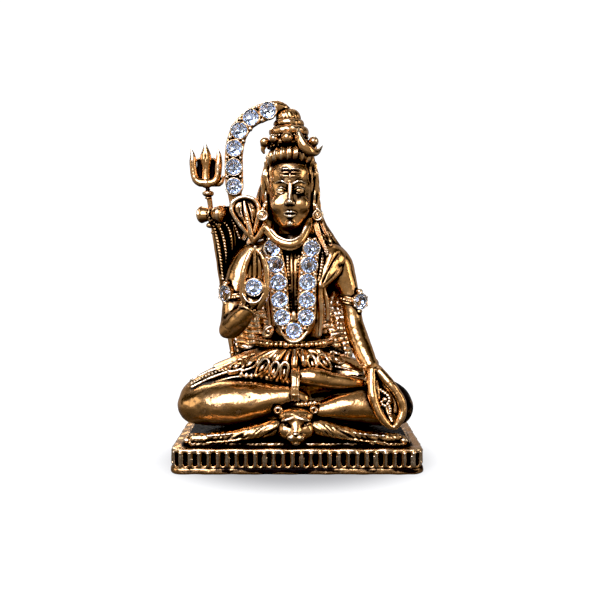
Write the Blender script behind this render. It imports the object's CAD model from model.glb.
import math
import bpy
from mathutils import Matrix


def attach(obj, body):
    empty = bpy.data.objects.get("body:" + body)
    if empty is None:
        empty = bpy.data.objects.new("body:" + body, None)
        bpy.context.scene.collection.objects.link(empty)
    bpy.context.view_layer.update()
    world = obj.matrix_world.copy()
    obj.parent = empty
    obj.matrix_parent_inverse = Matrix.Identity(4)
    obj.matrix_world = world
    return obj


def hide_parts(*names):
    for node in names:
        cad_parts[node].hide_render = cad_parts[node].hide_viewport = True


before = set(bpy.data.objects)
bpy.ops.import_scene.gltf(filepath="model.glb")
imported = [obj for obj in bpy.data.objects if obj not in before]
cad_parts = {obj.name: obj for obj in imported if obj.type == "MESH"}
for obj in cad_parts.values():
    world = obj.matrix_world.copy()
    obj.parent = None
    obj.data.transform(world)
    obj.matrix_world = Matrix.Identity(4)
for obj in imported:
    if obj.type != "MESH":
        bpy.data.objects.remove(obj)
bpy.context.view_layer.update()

from concurrent.futures import ThreadPoolExecutor

import bpy
import numpy as np
import openvdb
from mathutils import Vector

MM = 0.001                                          # metres in a millimetre
FINE, BODY = ((0.09, 0.12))   # grid steps of small and large pieces, mm
FAR = 5.0                                           # distance that empty space starts with, mm
SOFT_LIMIT = 0.6                                    # softening sees no distance past this
PLINTH_X, PLINTH_Y, PLINTH_CORNER = 24.0, 11.0, 2.4     # half width, half depth, corner radius
PLINTH_WALL = 0.3                                   # the fluted wall stands this far inside the foot
WAIST, NECK, CROWN = 22.6, 45.0, 62.3               # heights where the body is parted
WAIST_AT = (-0.6, 2.2)                              # middle of the waist
HEAD_X = -1.35                                      # middle of the head
STONE = 1.5                                         # radius of every crystal
rng = np.random.default_rng(7)


# ------------------------------------------------------------------ distance-field kit
def smin(a, b, k):
    """Smaller of two distances, rounded over k where they meet."""
    if k <= 0:
        return np.minimum(a, b)
    h = np.maximum(k - np.abs(a - b), 0)
    return np.minimum(a, b) - h * h * (0.25 / k)


def turn(rx, ry, rz):
    """Rotation matrix from degrees about X, then Y, then Z."""
    cx, sx = math.cos(math.radians(rx)), math.sin(math.radians(rx))
    cy, sy = math.cos(math.radians(ry)), math.sin(math.radians(ry))
    cz, sz = math.cos(math.radians(rz)), math.sin(math.radians(rz))
    x = np.array([[1, 0, 0], [0, cx, -sx], [0, sx, cx]])
    y = np.array([[cy, 0, sy], [0, 1, 0], [-sy, 0, cy]])
    z = np.array([[cz, -sz, 0], [sz, cz, 0], [0, 0, 1]])
    return z @ y @ x


def aim(direction):
    """Rotation matrix whose third column points along direction."""
    n = np.array(direction, float)
    n /= np.linalg.norm(n)
    side = np.cross((0, 0, 1) if abs(n[2]) < 0.9 else (0, 1, 0), n)
    side /= np.linalg.norm(side)
    return np.stack([side, np.cross(n, side), n], 1)


def curve(points, count):
    """Catmull-Rom curve through rows of numbers; every column is interpolated."""
    p = np.array(points, float)
    p = np.vstack([2 * p[0] - p[1], p, 2 * p[-1] - p[-2]])
    s = np.linspace(0, len(p) - 3, count)
    i = np.minimum(s.astype(int), len(p) - 4)
    t = (s - i)[:, None]
    a, b, c, d = p[i], p[i + 1], p[i + 2], p[i + 3]
    return 0.5 * (2 * b + (c - a) * t + (2 * a - 5 * b + 4 * c - d) * t**2 + (3 * b - 3 * c + d - a) * t**3)


def fade(x, a, b):
    """0 below a, 1 above b, smooth between."""
    t = np.clip((x - a) / (b - a), 0, 1)
    return t * t * (3 - 2 * t)


def rounded(a, b, r):
    """Distance outside a rounded edge, from how far a point is past its centre in two directions."""
    return np.sqrt(np.maximum(a, 0) ** 2 + np.maximum(b, 0) ** 2) + np.minimum(np.maximum(a, b), 0) - r


def around(count, start=0.0):
    """Cosine and sine of evenly spaced directions."""
    turns = [math.tau * (j + start) / count for j in range(count)]
    return [(math.cos(a), math.sin(a)) for a in turns]


def sides(middle):
    """For each side, its sign and a function that counts x outwards from the middle."""
    return [(s, lambda x, *rest, s=s: (middle + s * x, *rest)) for s in (-1, 1)]


def blur(a, radius, rounds):
    """Box blur of a grid along its three axes."""
    for _ in range(rounds):
        for axis in range(3):
            pad = [(0, 0)] * 3
            pad[axis] = (radius + 1, radius)
            c = np.cumsum(np.pad(a, pad), axis=axis, dtype=np.float32)
            n = a.shape[axis]
            hi = np.take(c, range(2 * radius + 1, 2 * radius + 1 + n), axis)
            lo = np.take(c, range(0, n), axis)
            a = (hi - lo) / (2 * radius + 1)
    return a


class Field:
    """A solid as signed distances, in mm, on a grid over a box."""

    def __init__(self, lo, hi, step):
        self.h = step
        self.lo = np.array(lo, float)
        self.n = np.ceil((np.array(hi, float) - self.lo) / step).astype(int) + 1
        self.d = np.full(self.n, FAR, np.float32)

    def window(self, lo, hi):
        """Slices of the grid inside a box, and the three coordinate arrays there."""
        a = np.clip(np.floor((np.array(lo) - self.lo) / self.h).astype(int), 0, self.n)
        b = np.clip(np.ceil((np.array(hi) - self.lo) / self.h).astype(int) + 1, 0, self.n)
        x, y, z = [(self.lo[i] + self.h * np.arange(a[i], b[i])).astype(np.float32) for i in range(3)]
        return tuple(map(slice, a, b)), (x[:, None, None], y[None, :, None], z[None, None, :])

    def everywhere(self):
        return self.window(self.lo, self.lo + self.h * self.n)

    def local(self, c, reach, rot=None):
        """Slices around a centre, and coordinates from it, along rot's axes (degrees or a matrix)."""
        sl, axes = self.window(np.array(c) - reach, np.array(c) + reach)
        x, y, z = [a - b for a, b in zip(axes, c)]
        if rot is not None:
            m = turn(*rot) if np.ndim(rot) == 1 else np.array(rot)
            x, y, z = [m[0, i] * x + m[1, i] * y + m[2, i] * z for i in range(3)]
        return sl, x, y, z

    def beside(self, a, b, pad):
        """Around a line from a to b: slices, share of the way along it, and the offset from it."""
        sl, axes = self.window(np.minimum(a, b) - pad, np.maximum(a, b) + pad)
        ab = b - a
        x, y, z = [q - a[i] for i, q in enumerate(axes)]
        t = np.clip((x * ab[0] + y * ab[1] + z * ab[2]) / max(float(ab @ ab), 1e-9), 0, 1)
        return sl, t, x - t * ab[0], y - t * ab[1], z - t * ab[2]

    def part(self, sl):
        """An empty field on the same grid, only over these slices."""
        f = Field.__new__(Field)
        f.h = self.h
        f.n = np.array([s.stop - s.start for s in sl])
        f.lo = np.array([self.lo[i] + self.h * sl[i].start for i in range(3)])
        f.d = np.full(f.n, FAR, np.float32)
        return f

    def blank(self):
        return self.part(self.everywhere()[0])

    def crop(self, lo, hi):
        """The same solid over a smaller box."""
        sl, _ = self.window(lo, hi)
        f = self.part(sl)
        f.d = self.d[sl].copy()
        return f

    def put(self, sl, d, k=0.0, op="add"):
        """Adds a solid, cuts it away, or clips to it, with the seam rounded over k."""
        here = self.d[sl]
        if op == "add":
            self.d[sl] = smin(here, d, k)
        elif op == "cut":
            self.d[sl] = -smin(-here, d, k)
        else:
            self.d[sl] = -smin(-here, -d, k)

    def between(self, z0, z1, k=0.0):
        """Clips the solid to a band of heights."""
        sl, (x, y, z) = self.everywhere()
        self.put(sl, np.maximum(z - z1, z0 - z) + 0 * x + 0 * y, k, "clip")

    def ell(self, c, r, rot=None, k=0.3, op="add"):
        """Ellipsoid: centre, three radii, rotation."""
        pad = k + 2 * self.h
        sl, x, y, z = self.local(c, np.array(r) + pad if rot is None else max(r) + pad, rot)
        q = (x / r[0]) ** 2 + (y / r[1]) ** 2 + (z / r[2]) ** 2
        g = (x / r[0] ** 2) ** 2 + (y / r[1] ** 2) ** 2 + (z / r[2] ** 2) ** 2
        k0 = np.sqrt(q)
        self.put(sl, k0 * (k0 - 1) / np.sqrt(g + 1e-9), k, op)

    def ball(self, c, r, k=0.0, op="add"):
        sl, x, y, z = self.local(c, r + k + 2 * self.h)
        self.put(sl, np.sqrt(x**2 + y**2 + z**2) - r, k, op)

    def ring(self, c, radius, r, rot=None, k=0.0, oval=(1.0, 1.0)):
        """Torus about its own Z axis."""
        sl, x, y, z = self.local(c, radius * max(oval) + r + k + 2 * self.h, rot)
        flat = np.sqrt((x / oval[0]) ** 2 + (y / oval[1]) ** 2) - radius
        self.put(sl, np.sqrt(flat * flat + z * z) - r, k)

    def cut_block(self, c, half, rot, soft):
        """Cuts away a box with softened edges."""
        sl, *axes = self.local(c, np.linalg.norm(half) + 2 * self.h, rot)
        x, y, z = [np.abs(a) - b + soft for a, b in zip(axes, half)]
        out = np.sqrt(np.maximum(x, 0) ** 2 + np.maximum(y, 0) ** 2 + np.maximum(z, 0) ** 2)
        self.put(sl, out + np.minimum(np.maximum(np.maximum(x, y), z), 0) - soft, op="cut")

    def tube(self, points, k=0.3, op="add", count=None, squash=None):
        """Round bar along a curve of rows (x, y, z, radius). squash = (direction, factor) flattens it."""
        p = np.array(points, float)
        length = np.linalg.norm(np.diff(p[:, :3], axis=0), axis=1).sum()
        if len(p) > 2:
            p = curve(p, count or max(len(p) * 2, int(length / 0.7) + 2))
        pad = p[:, 3].max() + k + 3 * self.h
        whole, _ = self.window(p[:, :3].min(0) - pad, p[:, :3].max(0) + pad)
        part = self.part(whole)
        thin, scale = (1.0, 1.0) if squash is None else (squash[1], squash[1] ** 0.5)
        n = np.array((0, 0, 1) if squash is None else squash[0], float)
        n /= np.linalg.norm(n)
        for a, b in zip(p[:-1], p[1:]):
            sl, t, x, y, z = part.beside(a[:3], b[:3], pad)
            q = x * x + y * y + z * z
            if thin != 1:
                q = q + (x * n[0] + y * n[1] + z * n[2]) ** 2 * (1 / thin**2 - 1)
            d = np.sqrt(q) - (a[3] + t * (b[3] - a[3]))
            part.d[sl] = np.minimum(part.d[sl], d * scale)
        self.put(whole, part.d, k, op)

    def sweep(self, points, side, section, reach, k=0.2, count=None):
        """Free section along a curve of rows (x, y, z, ...); side is the section's width axis.
        section(t, u, v) gives the distance from its outline: u along side, v across it, t from 0 to 1."""
        p = np.array(points, float)[:, :3]
        length = np.linalg.norm(np.diff(p, axis=0), axis=1).sum()
        n = count or max(len(p) * 3, int(length / 0.6) + 2)
        p = curve(p, n)
        tan = np.gradient(p, axis=0)
        tan /= np.linalg.norm(tan, axis=1)[:, None]
        side = np.tile(np.array(side, float), (n, 1))
        side = side - (side * tan).sum(1)[:, None] * tan
        side /= np.linalg.norm(side, axis=1)[:, None]
        up = np.cross(tan, side)
        pad = reach + 3 * self.h
        whole, _ = self.window(p.min(0) - pad, p.max(0) + pad)
        part = self.part(whole)
        best = part.d * 0 + 1e9
        t_at, u_at, v_at = (np.zeros(part.n, np.float32) for _ in range(3))
        for i in range(n - 1):
            sl, t, x, y, z = part.beside(p[i], p[i + 1], pad)
            q = x * x + y * y + z * z
            near = q < best[sl]
            sd, ud = ([a[i][j] + t * (a[i + 1][j] - a[i][j]) for j in range(3)] for a in (side, up))
            best[sl] = np.where(near, q, best[sl])
            t_at[sl] = np.where(near, (i + t) / (n - 1), t_at[sl])
            u_at[sl] = np.where(near, x * sd[0] + y * sd[1] + z * sd[2], u_at[sl])
            v_at[sl] = np.where(near, x * ud[0] + y * ud[1] + z * ud[2], v_at[sl])
        past = best - u_at**2 - v_at**2
        d = section(t_at, u_at, v_at)
        beyond = np.hypot(np.maximum(d, 0), np.sqrt(np.maximum(past, 0)))
        d = np.where(past > 0.03 * best + 0.002, beyond, d)
        d = np.where(best < (reach + 2 * self.h) ** 2, d, FAR).astype(np.float32)
        self.put(whole, d, k)

    def soften(self, radius):
        """Blurs the form a little, so that joints between bars run smooth."""
        self.d = blur(np.clip(self.d, -SOFT_LIMIT, SOFT_LIMIT), radius, 2).astype(np.float32)

    def carve(self, fn, low):
        """Moves the surface above a height: fn(x, y, z) gives how far outwards, in mm."""
        sl, axes = self.window((*self.lo[:2], low), self.lo + self.h * self.n)
        self.d[sl] -= fn(*axes).astype(np.float32)

    def beads(self, points, r, k=0.05, every=None):
        """Round beads along a curve, touching unless every says how far apart."""
        p = curve(points, 200)
        s = np.concatenate([[0], np.cumsum(np.linalg.norm(np.diff(p, axis=0), axis=1))])
        gap = every or 1.85 * r
        for t in np.linspace(0, s[-1], max(2, int(round(s[-1] / gap)) + 1)):
            self.ball([np.interp(t, s, p[:, j]) for j in range(3)], r, k)


# ------------------------------------------------------------------ sculpted pieces (mm)
def rim_point(s, w, d, r, wall):
    """The point at distance s round a rectangle of half sides w, d and corner radius r, set in by wall."""
    lengths = [2 * (w - r), math.pi * r / 2, 2 * (d - r), math.pi * r / 2] * 2
    s %= sum(lengths)
    k = 0
    while s > lengths[k]:
        s -= lengths[k]
        k += 1
    ax, ay = (w, d) if k // 2 % 2 == 0 else (d, w)
    a = 0.0 if k % 2 == 0 else s / r
    px, py = (-ax + r + s, -ay) if k % 2 == 0 else (ax - r + r * math.sin(a), -ay + r - r * math.cos(a))
    px, py = px + wall * math.sin(a), py - wall * math.cos(a)
    c, q = math.cos(k // 2 * math.pi / 2), math.sin(k // 2 * math.pi / 2)
    return c * px - q * py, q * px + c * py


def plinth():
    f = Field((-24.8, -11.8, -0.5), (24.8, 11.8, 5.4), BODY)
    sl, (x, y, z) = f.everywhere()

    def slab(inset, corner, z0, z1, soft):
        flat = rounded(np.abs(x) - (PLINTH_X - inset) + corner, np.abs(y) - (PLINTH_Y - inset) + corner,
            corner)
        return rounded(flat + soft, np.abs(z - (z0 + z1) / 2) - (z1 - z0) / 2 + soft, soft)

    corner = PLINTH_CORNER - PLINTH_WALL
    f.put(sl, slab(0.0, PLINTH_CORNER, 0.0, 1.35, 0.4) + 0.12 * fade(z, 0.2, 1.4))
    f.put(sl, slab(PLINTH_WALL, corner, 0.1, 4.8, 0.3), k=0.15)
    f.put(sl, slab(1.8, 1.2, -1.0, 2.0, 0.3), op="cut")
    w, d, flutes = PLINTH_X - PLINTH_WALL, PLINTH_Y - PLINTH_WALL, 77
    total = 4 * (w - corner) + 4 * (d - corner) + 2 * math.pi * corner
    ribs = [rim_point(w - corner + i * total / flutes, w, d, corner, -0.18) for i in range(flutes)]
    for gx, gy in ribs:
        f.tube([(gx, gy, 1.95, 0.41), (gx, gy, 3.7, 0.43)], k=0.04, op="cut")
    for (ax, ay), (bx, by) in zip(ribs, ribs[1:] + ribs[:1]):
        gx, gy = 1.006 * (ax + bx) / 2, 1.014 * (ay + by) / 2
        f.tube([(gx, gy, 1.7, 0.3), (gx, gy, 3.8, 0.3)], k=0.06)
        for gz, gr in ((4.05, 0.36), (1.6, 0.28)):
            f.ball((gx, gy, gz), gr, k=0.05)
    f.carve(lambda x, y, z: 0.03 * np.sin(0.9 * x + 1.3 * y) + 0.02 * np.sin(2.3 * x - 1.9 * y), low=4.0)
    return f


def tiger_rug():
    f = Field((-23.4, -11.0, 4.2), (23.4, 10.4, 10.8), BODY)
    sl, (x, y, z) = f.window((-24, -12, 4), (24, 11, 7.5))
    edge = 0.14 * np.sin(1.7 * x) * np.cos(0.6 * y) + 0.05 * np.sin(4.1 * x + 1.0) * np.cos(3.0 * y)
    qx, qy = np.abs(x) - 21.6 + 2.5 + edge, np.abs(y + 0.1) - 9.5 + 2.5 + edge * 0.6
    f.put(sl, np.maximum(rounded(qx, qy, 2.5), np.abs(z - 5.0) - 0.55) - 0.1)
    for s, reach in ((-1, 1.0), (1, 0.97)):
        leg = [(2.4, -8.0, 8.9, 1.3), (5.0, -8.3, 8.2, 1.5), (9.0, -8.5, 7.3, 1.35),
            (13.0, -8.5, 6.7, 1.05), (17.0, -8.4, 6.35, 0.95), (19.6, -8.2, 6.2, 1.05)]
        f.tube([(s * a * reach, b, c, r) for a, b, c, r in leg], k=0.5)
        f.tube([(s * a * reach, b - 1.1, c - 0.6, 0.22) for a, b, c, r in leg[1:5]], k=0.15)
        f.tube([(s * a * reach, b - 0.9, c + 0.65, 0.2) for a, b, c, r in leg[1:5]], k=0.15)
        for j in (-1.5, -0.5, 0.5, 1.5):
            f.ell((s * 20.8 * reach, -8.2 + 0.62 * j, 6.1 - 0.05 * abs(j)), (0.75, 0.36, 0.5), k=0.15)
            f.tube([(s * 21.2 * reach, -8.2 + 0.66 * j, 6.1, 0.16),
                (s * 21.8 * reach, -8.2 + 0.7 * j, 5.85, 0.07)], k=0.05)
        f.tube([(s * 14.0, 6.5, 5.6, 1.2), (s * 18.0, 7.6, 5.6, 0.9), (s * 20.4, 7.4, 5.7, 1.0)], k=0.5)
    f.tube([(0, 8.0, 5.8, 0.8), (4, 9.0, 5.9, 0.7), (8, 8.6, 5.9, 0.6), (12, 9.2, 5.8, 0.45)], k=0.4)

    def fur(x, y, z):
        lean = 5.2 * x * np.sign(x) + 2.0 * np.sin(1.1 * x + 0.7 * y)
        return 0.045 * np.sin(lean + 6.0 * z) * np.sin(3.1 * y + 0.8 * np.sin(2.3 * x))

    f.carve(fur, low=4.9)
    return f


def tiger_head():
    f = Field((-5.8, -12.2, 4.2), (5.6, -4.4, 13.4), FINE)
    m = -0.2
    f.ell((m, -7.6, 9.2), (3.6, 2.4, 2.9), k=0)
    f.ell((m, -8.4, 10.7), (3.3, 1.6, 1.3), k=0.7)
    f.ell((m, -8.6, 7.0), (2.0, 2.2, 1.9), k=0.9)
    f.ell((m, -8.7, 8.5), (2.9, 1.7, 1.9), k=0.8)
    f.tube([(m, -9.2, 10.3, 0.7), (m, -9.6, 9.1, 0.7), (m, -10.2, 8.1, 0.8)], k=0.9)
    for s, at in sides(m):
        f.ell(at(1.9, -9.0, 8.0), (1.5, 1.4, 1.5), k=0.7)
        f.ell(at(1.5, -9.75, 10.35), (1.35, 0.7, 0.45), rot=(0, s * 14, 0), k=0.45)
        f.ell(at(3.4, -8.3, 11.7), (0.95, 0.7, 0.85), rot=(0, s * 30, 0), k=0.25)
        f.ell(at(3.45, -9.0, 11.8), (0.45, 0.42, 0.42), rot=(0, s * 30, 0), k=0.12, op="cut")
        f.ell(at(1.65, -10.45, 9.35), (0.85, 0.7, 0.36), rot=(0, s * -24, 0), k=0.3, op="cut")
        f.ell(at(1.6, -9.75, 9.25), (0.3, 0.25, 0.2), k=0.1)
        f.ell(at(0.75, -10.4, 7.05), (0.95, 0.85, 0.75), k=0.35)
        f.ball(at(0.3, -11.4, 7.55), 0.13, k=0.05, op="cut")
        for j in range(3):
            f.tube([at(1.1, -11.0, 7.2 - 0.25 * j, 0.06), at(2.1, -10.2, 7.3 - 0.35 * j, 0.05)], k=0.1,
                op="cut")
            f.tube([at(3.0, -8.9, 8.9 - 0.8 * j, 0.3), at(3.5, -8.3, 8.4 - 0.85 * j, 0.1)], k=0.3)
            f.tube([at(0.5, -9.9, 11.5 - 0.3 * j, 0.05), at(1.5, -9.8, 11.6 - 0.34 * j, 0.06),
                at(2.4, -9.2, 11.3 - 0.34 * j, 0.05)], k=0.12, op="cut")
    f.ell((m, -11.0, 7.85), (0.62, 0.42, 0.36), k=0.2)
    f.ell((m, -10.0, 5.9), (0.95, 0.85, 0.55), k=0.35)
    f.tube([(m - 1.3, -10.4, 6.5, 0.08), (m - 0.6, -11.1, 6.3, 0.1), (m, -11.25, 6.5, 0.09),
        (m + 0.6, -11.1, 6.3, 0.1), (m + 1.3, -10.4, 6.5, 0.08)], k=0.12, op="cut")
    return f


def limbs_below(f):
    """Pelvis and folded legs, before they are cut at the waist seam."""
    f.ell((-0.6, 2.6, 15.5), (8.6, 5.2, 8.8), k=0)
    f.tube([(-4.5, 3.0, 16.8, 5.2), (-10, 2.2, 15.9, 4.9), (-15.5, 1.0, 14.2, 4.3),
        (-19.2, -0.6, 12.6, 3.9), (-20.4, -1.6, 11.4, 3.3)], k=1.0)
    f.tube([(-19.9, -2.2, 11.2, 3.7), (-16.5, -3.6, 11.8, 4.25), (-12.5, -4.3, 12.2, 4.3),
        (-8.0, -4.8, 12.7, 3.6), (-3.8, -5.6, 13.4, 2.5), (-0.6, -6.2, 13.9, 1.7), (1.2, -6.5, 13.6, 1.3)],
        k=0.45)
    f.tube([(3.5, 3.0, 16.6, 5.0), (9.5, 2.0, 15.2, 4.6), (14.5, 1.0, 13.2, 4.0), (18.6, -0.6, 11.9, 3.7),
        (19.9, -1.6, 10.9, 3.1)], k=1.0)
    f.tube([(19.4, -2.4, 10.7, 3.5), (16.0, -3.7, 11.4, 3.8), (12.0, -4.6, 11.8, 3.45),
        (8.0, -5.6, 11.6, 2.6), (4.6, -6.6, 11.2, 1.75), (2.4, -7.0, 11.0, 1.3)], k=0.4)


def lower_body():
    f = Field((-25.0, -10.6, 4.8), (24.8, 10.4, 23.4), BODY)
    limbs_below(f)
    f.ell((0.0, 2.6, 9.4), (19.0, 5.8, 5.4), k=0.4)
    f.soften(3)
    # right foot, sole up, across the left thigh
    f.tube([(1.0, -5.6, 17.7, 1.5), (3.4, -5.6, 17.5, 1.85), (6.4, -5.2, 16.8, 1.6), (9.6, -4.9, 16.3, 1.4),
        (12.4, -4.6, 16.1, 1.05)], k=0.2)
    f.tube([(0.2, -6.9, 17.3, 0.14), (3.6, -7.45, 16.6, 0.14), (7.4, -6.8, 15.9, 0.14),
        (11.6, -6.0, 15.6, 0.12)], k=0.12, op="cut")
    for j in range(5):
        f.ell((13.2 + 0.22 * j, -4.9 + 0.5 * j, 16.3 + 0.16 * j), (0.75 - 0.06 * j, 0.34, 0.36),
            rot=(0, 10, 8), k=0.12)
    # left foot under the right shin, toes showing beside the tiger's ear
    f.ell((1.4, -7.4, 12.6), (3.0, 0.9, 0.7), rot=(0, -6, 0), k=0.4)
    for j in range(5):
        f.ell((0.2 + 0.8 * j, -8.1 + 0.1 * abs(j - 2), 12.6 + 0.09 * j), (0.42, 0.42, 0.5), rot=(0, -20, 0),
            k=0.15)
    f.tube([(-22.4, -2.4, 9.4, 0.16), (-21.4, -5.0, 8.2, 0.16), (-18.4, -7.0, 7.9, 0.14)], k=0.1, op="cut")
    f.between(5.55, WAIST, k=0.1)
    return f


def chest(f):
    """Torso as one soft form, before it is cut at its seams."""
    f.tube([(-0.6, 2.4, 20.5, 5.6), (-0.6, 2.3, 24.0, 5.4), (-0.6, 2.2, 28.0, 5.3), (-0.7, 2.1, 32.5, 5.6),
        (-0.9, 2.0, 36.5, 6.0), (-1.0, 2.0, 39.2, 5.0)], squash=((0, 1, 0), 0.82))
    f.ell((-0.8, 2.0, 36.5), (7.6, 4.7, 5.4), k=1.5)
    f.tube([(-9.0, 1.7, 40.6, 2.5), (-5.0, 1.7, 41.9, 2.6), (-1.0, 1.8, 42.3, 2.6), (3.0, 1.7, 41.7, 2.6),
        (7.2, 1.8, 40.2, 2.5)], k=1.2)
    for s in (-1, 1):
        f.ell((-0.9 + s * 3.7, -1.4, 38.4), (3.4, 1.7, 2.7), rot=(0, s * 12, s * 12), k=0.9)
        f.ell((-0.7 + s * 2.2, -2.2, 29.5), (2.2, 0.9, 4.6), k=1.0)
    f.tube([(-1.0, 1.5, 42.0, 2.5), (-1.0, 1.2, 46.0, 2.1)], k=0.8)


def bare_right_arm(f):
    """Upper arm down to the elbow and forearm up to the wrist."""
    f.tube([(-9.0, 1.8, 40.6, 2.8), (-10.4, 1.4, 38.8, 2.95), (-11.4, 0.6, 36.2, 2.75),
        (-12.2, -0.4, 32.8, 2.35), (-12.6, -1.4, 29.2, 2.35), (-12.9, -2.2, 26.9, 2.15)], k=0.8)
    f.tube([(-12.9, -2.3, 26.7, 2.15), (-12.2, -3.1, 27.4, 2.2), (-10.9, -4.3, 28.7, 2.05),
        (-9.6, -5.4, 30.1, 1.6), (-8.8, -6.0, 31.3, 1.35), (-8.5, -6.1, 32.2, 1.5)], k=0.5)
    f.ell((-14.0, -2.2, 25.9), (1.3, 1.4, 1.2), k=0.8)


def bare_left_arm(f):
    """From the shoulder down to the wrist over the knee."""
    f.tube([(7.2, 2.0, 40.2, 2.7), (8.5, 1.9, 38.6, 2.8), (9.3, 1.6, 36.4, 2.5), (10.3, 1.2, 33.4, 2.05),
        (10.9, 0.9, 30.2, 1.95), (11.2, 0.4, 27.6, 1.95), (12.0, -1.2, 24.6, 2.1), (13.0, -3.2, 22.0, 1.95),
        (13.9, -4.8, 20.1, 1.65), (14.5, -5.7, 18.9, 1.6)], k=0.8)


def split_bodies():
    """Chest and arms blend into each other; each keeps the share of the blend that is nearest to it."""
    whole = Field((-17.6, -11.2, 6.4), (21.2, 8.6, 46.8), BODY)
    chest(whole)
    right, left = whole.blank(), whole.blank()
    bare_right_arm(right)
    bare_left_arm(left)
    both = whole.blank()
    both.d = smin(smin(whole.d, right.d, 1.0), left.d, 1.0)
    both.soften(2)
    seam_r, seam_l = right.d - whole.d, left.d - whole.d
    shares = []
    for limit in (np.maximum(-seam_r, -seam_l), seam_r, seam_l):
        g = whole.blank()
        g.d = np.maximum(both.d, limit * 0.7).astype(np.float32)
        shares.append(g)
    return shares


def torso(f):
    f.tube([(-0.9, -3.6, 35.5, 0.18), (-0.8, -3.5, 31.0, 0.2), (-0.7, -3.2, 26.5, 0.18)], k=0.25, op="cut")
    for s in (-1, 1):
        f.ball((-0.9 + s * 4.4, -3.05, 37.2), 0.35, k=0.2)
        for j in range(4):
            z = 33.6 - 1.15 * j
            f.tube([(-0.7 + s * 2.6, -2.9, z, 0.16), (-0.7 + s * 4.6, -2.0, z - 0.5, 0.2),
                (-0.7 + s * 5.8, -0.6, z - 0.4, 0.16)], k=0.25, op="cut")
    f.ell((-0.6, -3.1, 25.6), (0.45, 0.5, 0.35), k=0.3, op="cut")
    # smooth scarf over the left shoulder, gathered down beside the garland
    f.ell((6.8, 0.3, 39.6), (2.8, 1.9, 3.2), rot=(0, -25, 0), k=1.0)
    f.tube([(7.6, 2.4, 42.6, 0.6), (7.0, -0.3, 41.4, 0.9), (5.8, -1.9, 38.4, 0.9), (4.5, -2.6, 35.2, 0.6)],
        k=0.6)
    f.tube([(8.6, 1.4, 41.0, 0.6), (7.5, -0.6, 39.5, 0.95), (6.0, -1.9, 37.3, 0.85),
        (4.6, -2.5, 35.1, 0.5)], k=0.6)
    f.tube([(8.8, 1.2, 38.8, 0.6), (7.8, -0.9, 37.8, 0.9), (6.2, -1.9, 36.2, 0.85), (4.6, -2.5, 34.8, 0.5)],
        k=0.6)
    for groove in (
        [(9.0, -0.6, 42.2), (7.2, -1.9, 39.9), (5.8, -2.9, 37.4), (5.0, -3.2, 35.6)],
        [(9.6, -1.0, 39.6), (8.2, -1.9, 38.2), (6.6, -2.8, 36.4), (5.2, -3.1, 35.0)],
    ):
        f.tube([(*p, 0.2) for p in groove], k=0.2, op="cut")
    f.tube([(4.5, -2.5, 35.2, 0.6), (4.5, -2.4, 32.0, 0.62), (4.7, -2.1, 28.6, 0.55),
        (4.4, -2.1, 25.2, 0.4)], k=0.2)
    f.tube([(5.2, -1.9, 34.4, 0.4), (5.9, -1.4, 31.4, 0.5), (6.0, -1.1, 28.2, 0.45)], k=0.2)
    f.tube([(-6.3, -0.6, 41.4, 0.45), (-6.6, -1.6, 38.0, 0.5), (-6.0, -1.8, 34.0, 0.45),
        (-5.5, -1.6, 29.6, 0.4), (-5.2, -1.5, 25.5, 0.35)], k=0.25)
    f.between(WAIST, NECK)
    return f


def finger(f, root, joint1, joint2, tip, r):
    f.tube([(*root, r * 0.95), (*joint1, r * 1.05), (*joint2, r * 0.92), (*tip, r * 0.6)], k=0.06)


def right_arm(f):
    # open palm facing out, fingers up and leaning together to a point
    f.ell((-8.3, -5.9, 34.0), (2.3, 1.0, 3.2), k=0.6)
    f.ell((-8.2, -7.2, 36.2), (1.55, 0.9, 3.6), k=0.3, op="cut")
    for rim in (
        [(-9.3, -6.3, 31.2, 0.75), (-10.1, -6.7, 33.4, 0.74), (-10.25, -6.9, 35.8, 0.66),
            (-9.95, -6.9, 38.2, 0.62), (-9.3, -6.8, 40.2, 0.55), (-8.8, -6.8, 41.5, 0.38)],
        [(-7.3, -6.3, 31.2, 0.75), (-6.2, -6.7, 33.2, 0.78), (-5.75, -6.8, 35.8, 0.66),
            (-5.8, -6.8, 38.2, 0.6), (-6.3, -6.8, 40.2, 0.54), (-6.9, -6.8, 41.3, 0.38)],
    ):
        f.tube(rim, k=0.15)
    for x0, x1, top in ((-9.0, -8.5, 41.9), (-8.1, -7.9, 42.5), (-7.1, -7.3, 41.7)):
        finger(f, (x0, -6.0, 36.6), (x0 + 0.1, -6.25, 38.4), ((x0 + x1) / 2, -6.35, 40.4), (x1, -6.6, top),
            0.5)
    f.tube([(-9.6, -6.8, 32.6, 0.35), (-8.3, -7.2, 31.7, 0.4), (-6.9, -6.8, 32.6, 0.35)], k=0.15)
    f.tube([(-10.2, -7.4, 33.6, 0.16), (-9.2, -7.7, 32.2, 0.16), (-7.4, -7.7, 32.2, 0.16),
        (-6.4, -7.4, 33.6, 0.16)], k=0.1)
    f.tube([(-14.6, -4.2, 27.4, 0.13), (-13.0, -5.0, 26.2, 0.13)], k=0.12, op="cut")
    cup(f, PALM, deep=1.6)
    return f


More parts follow.
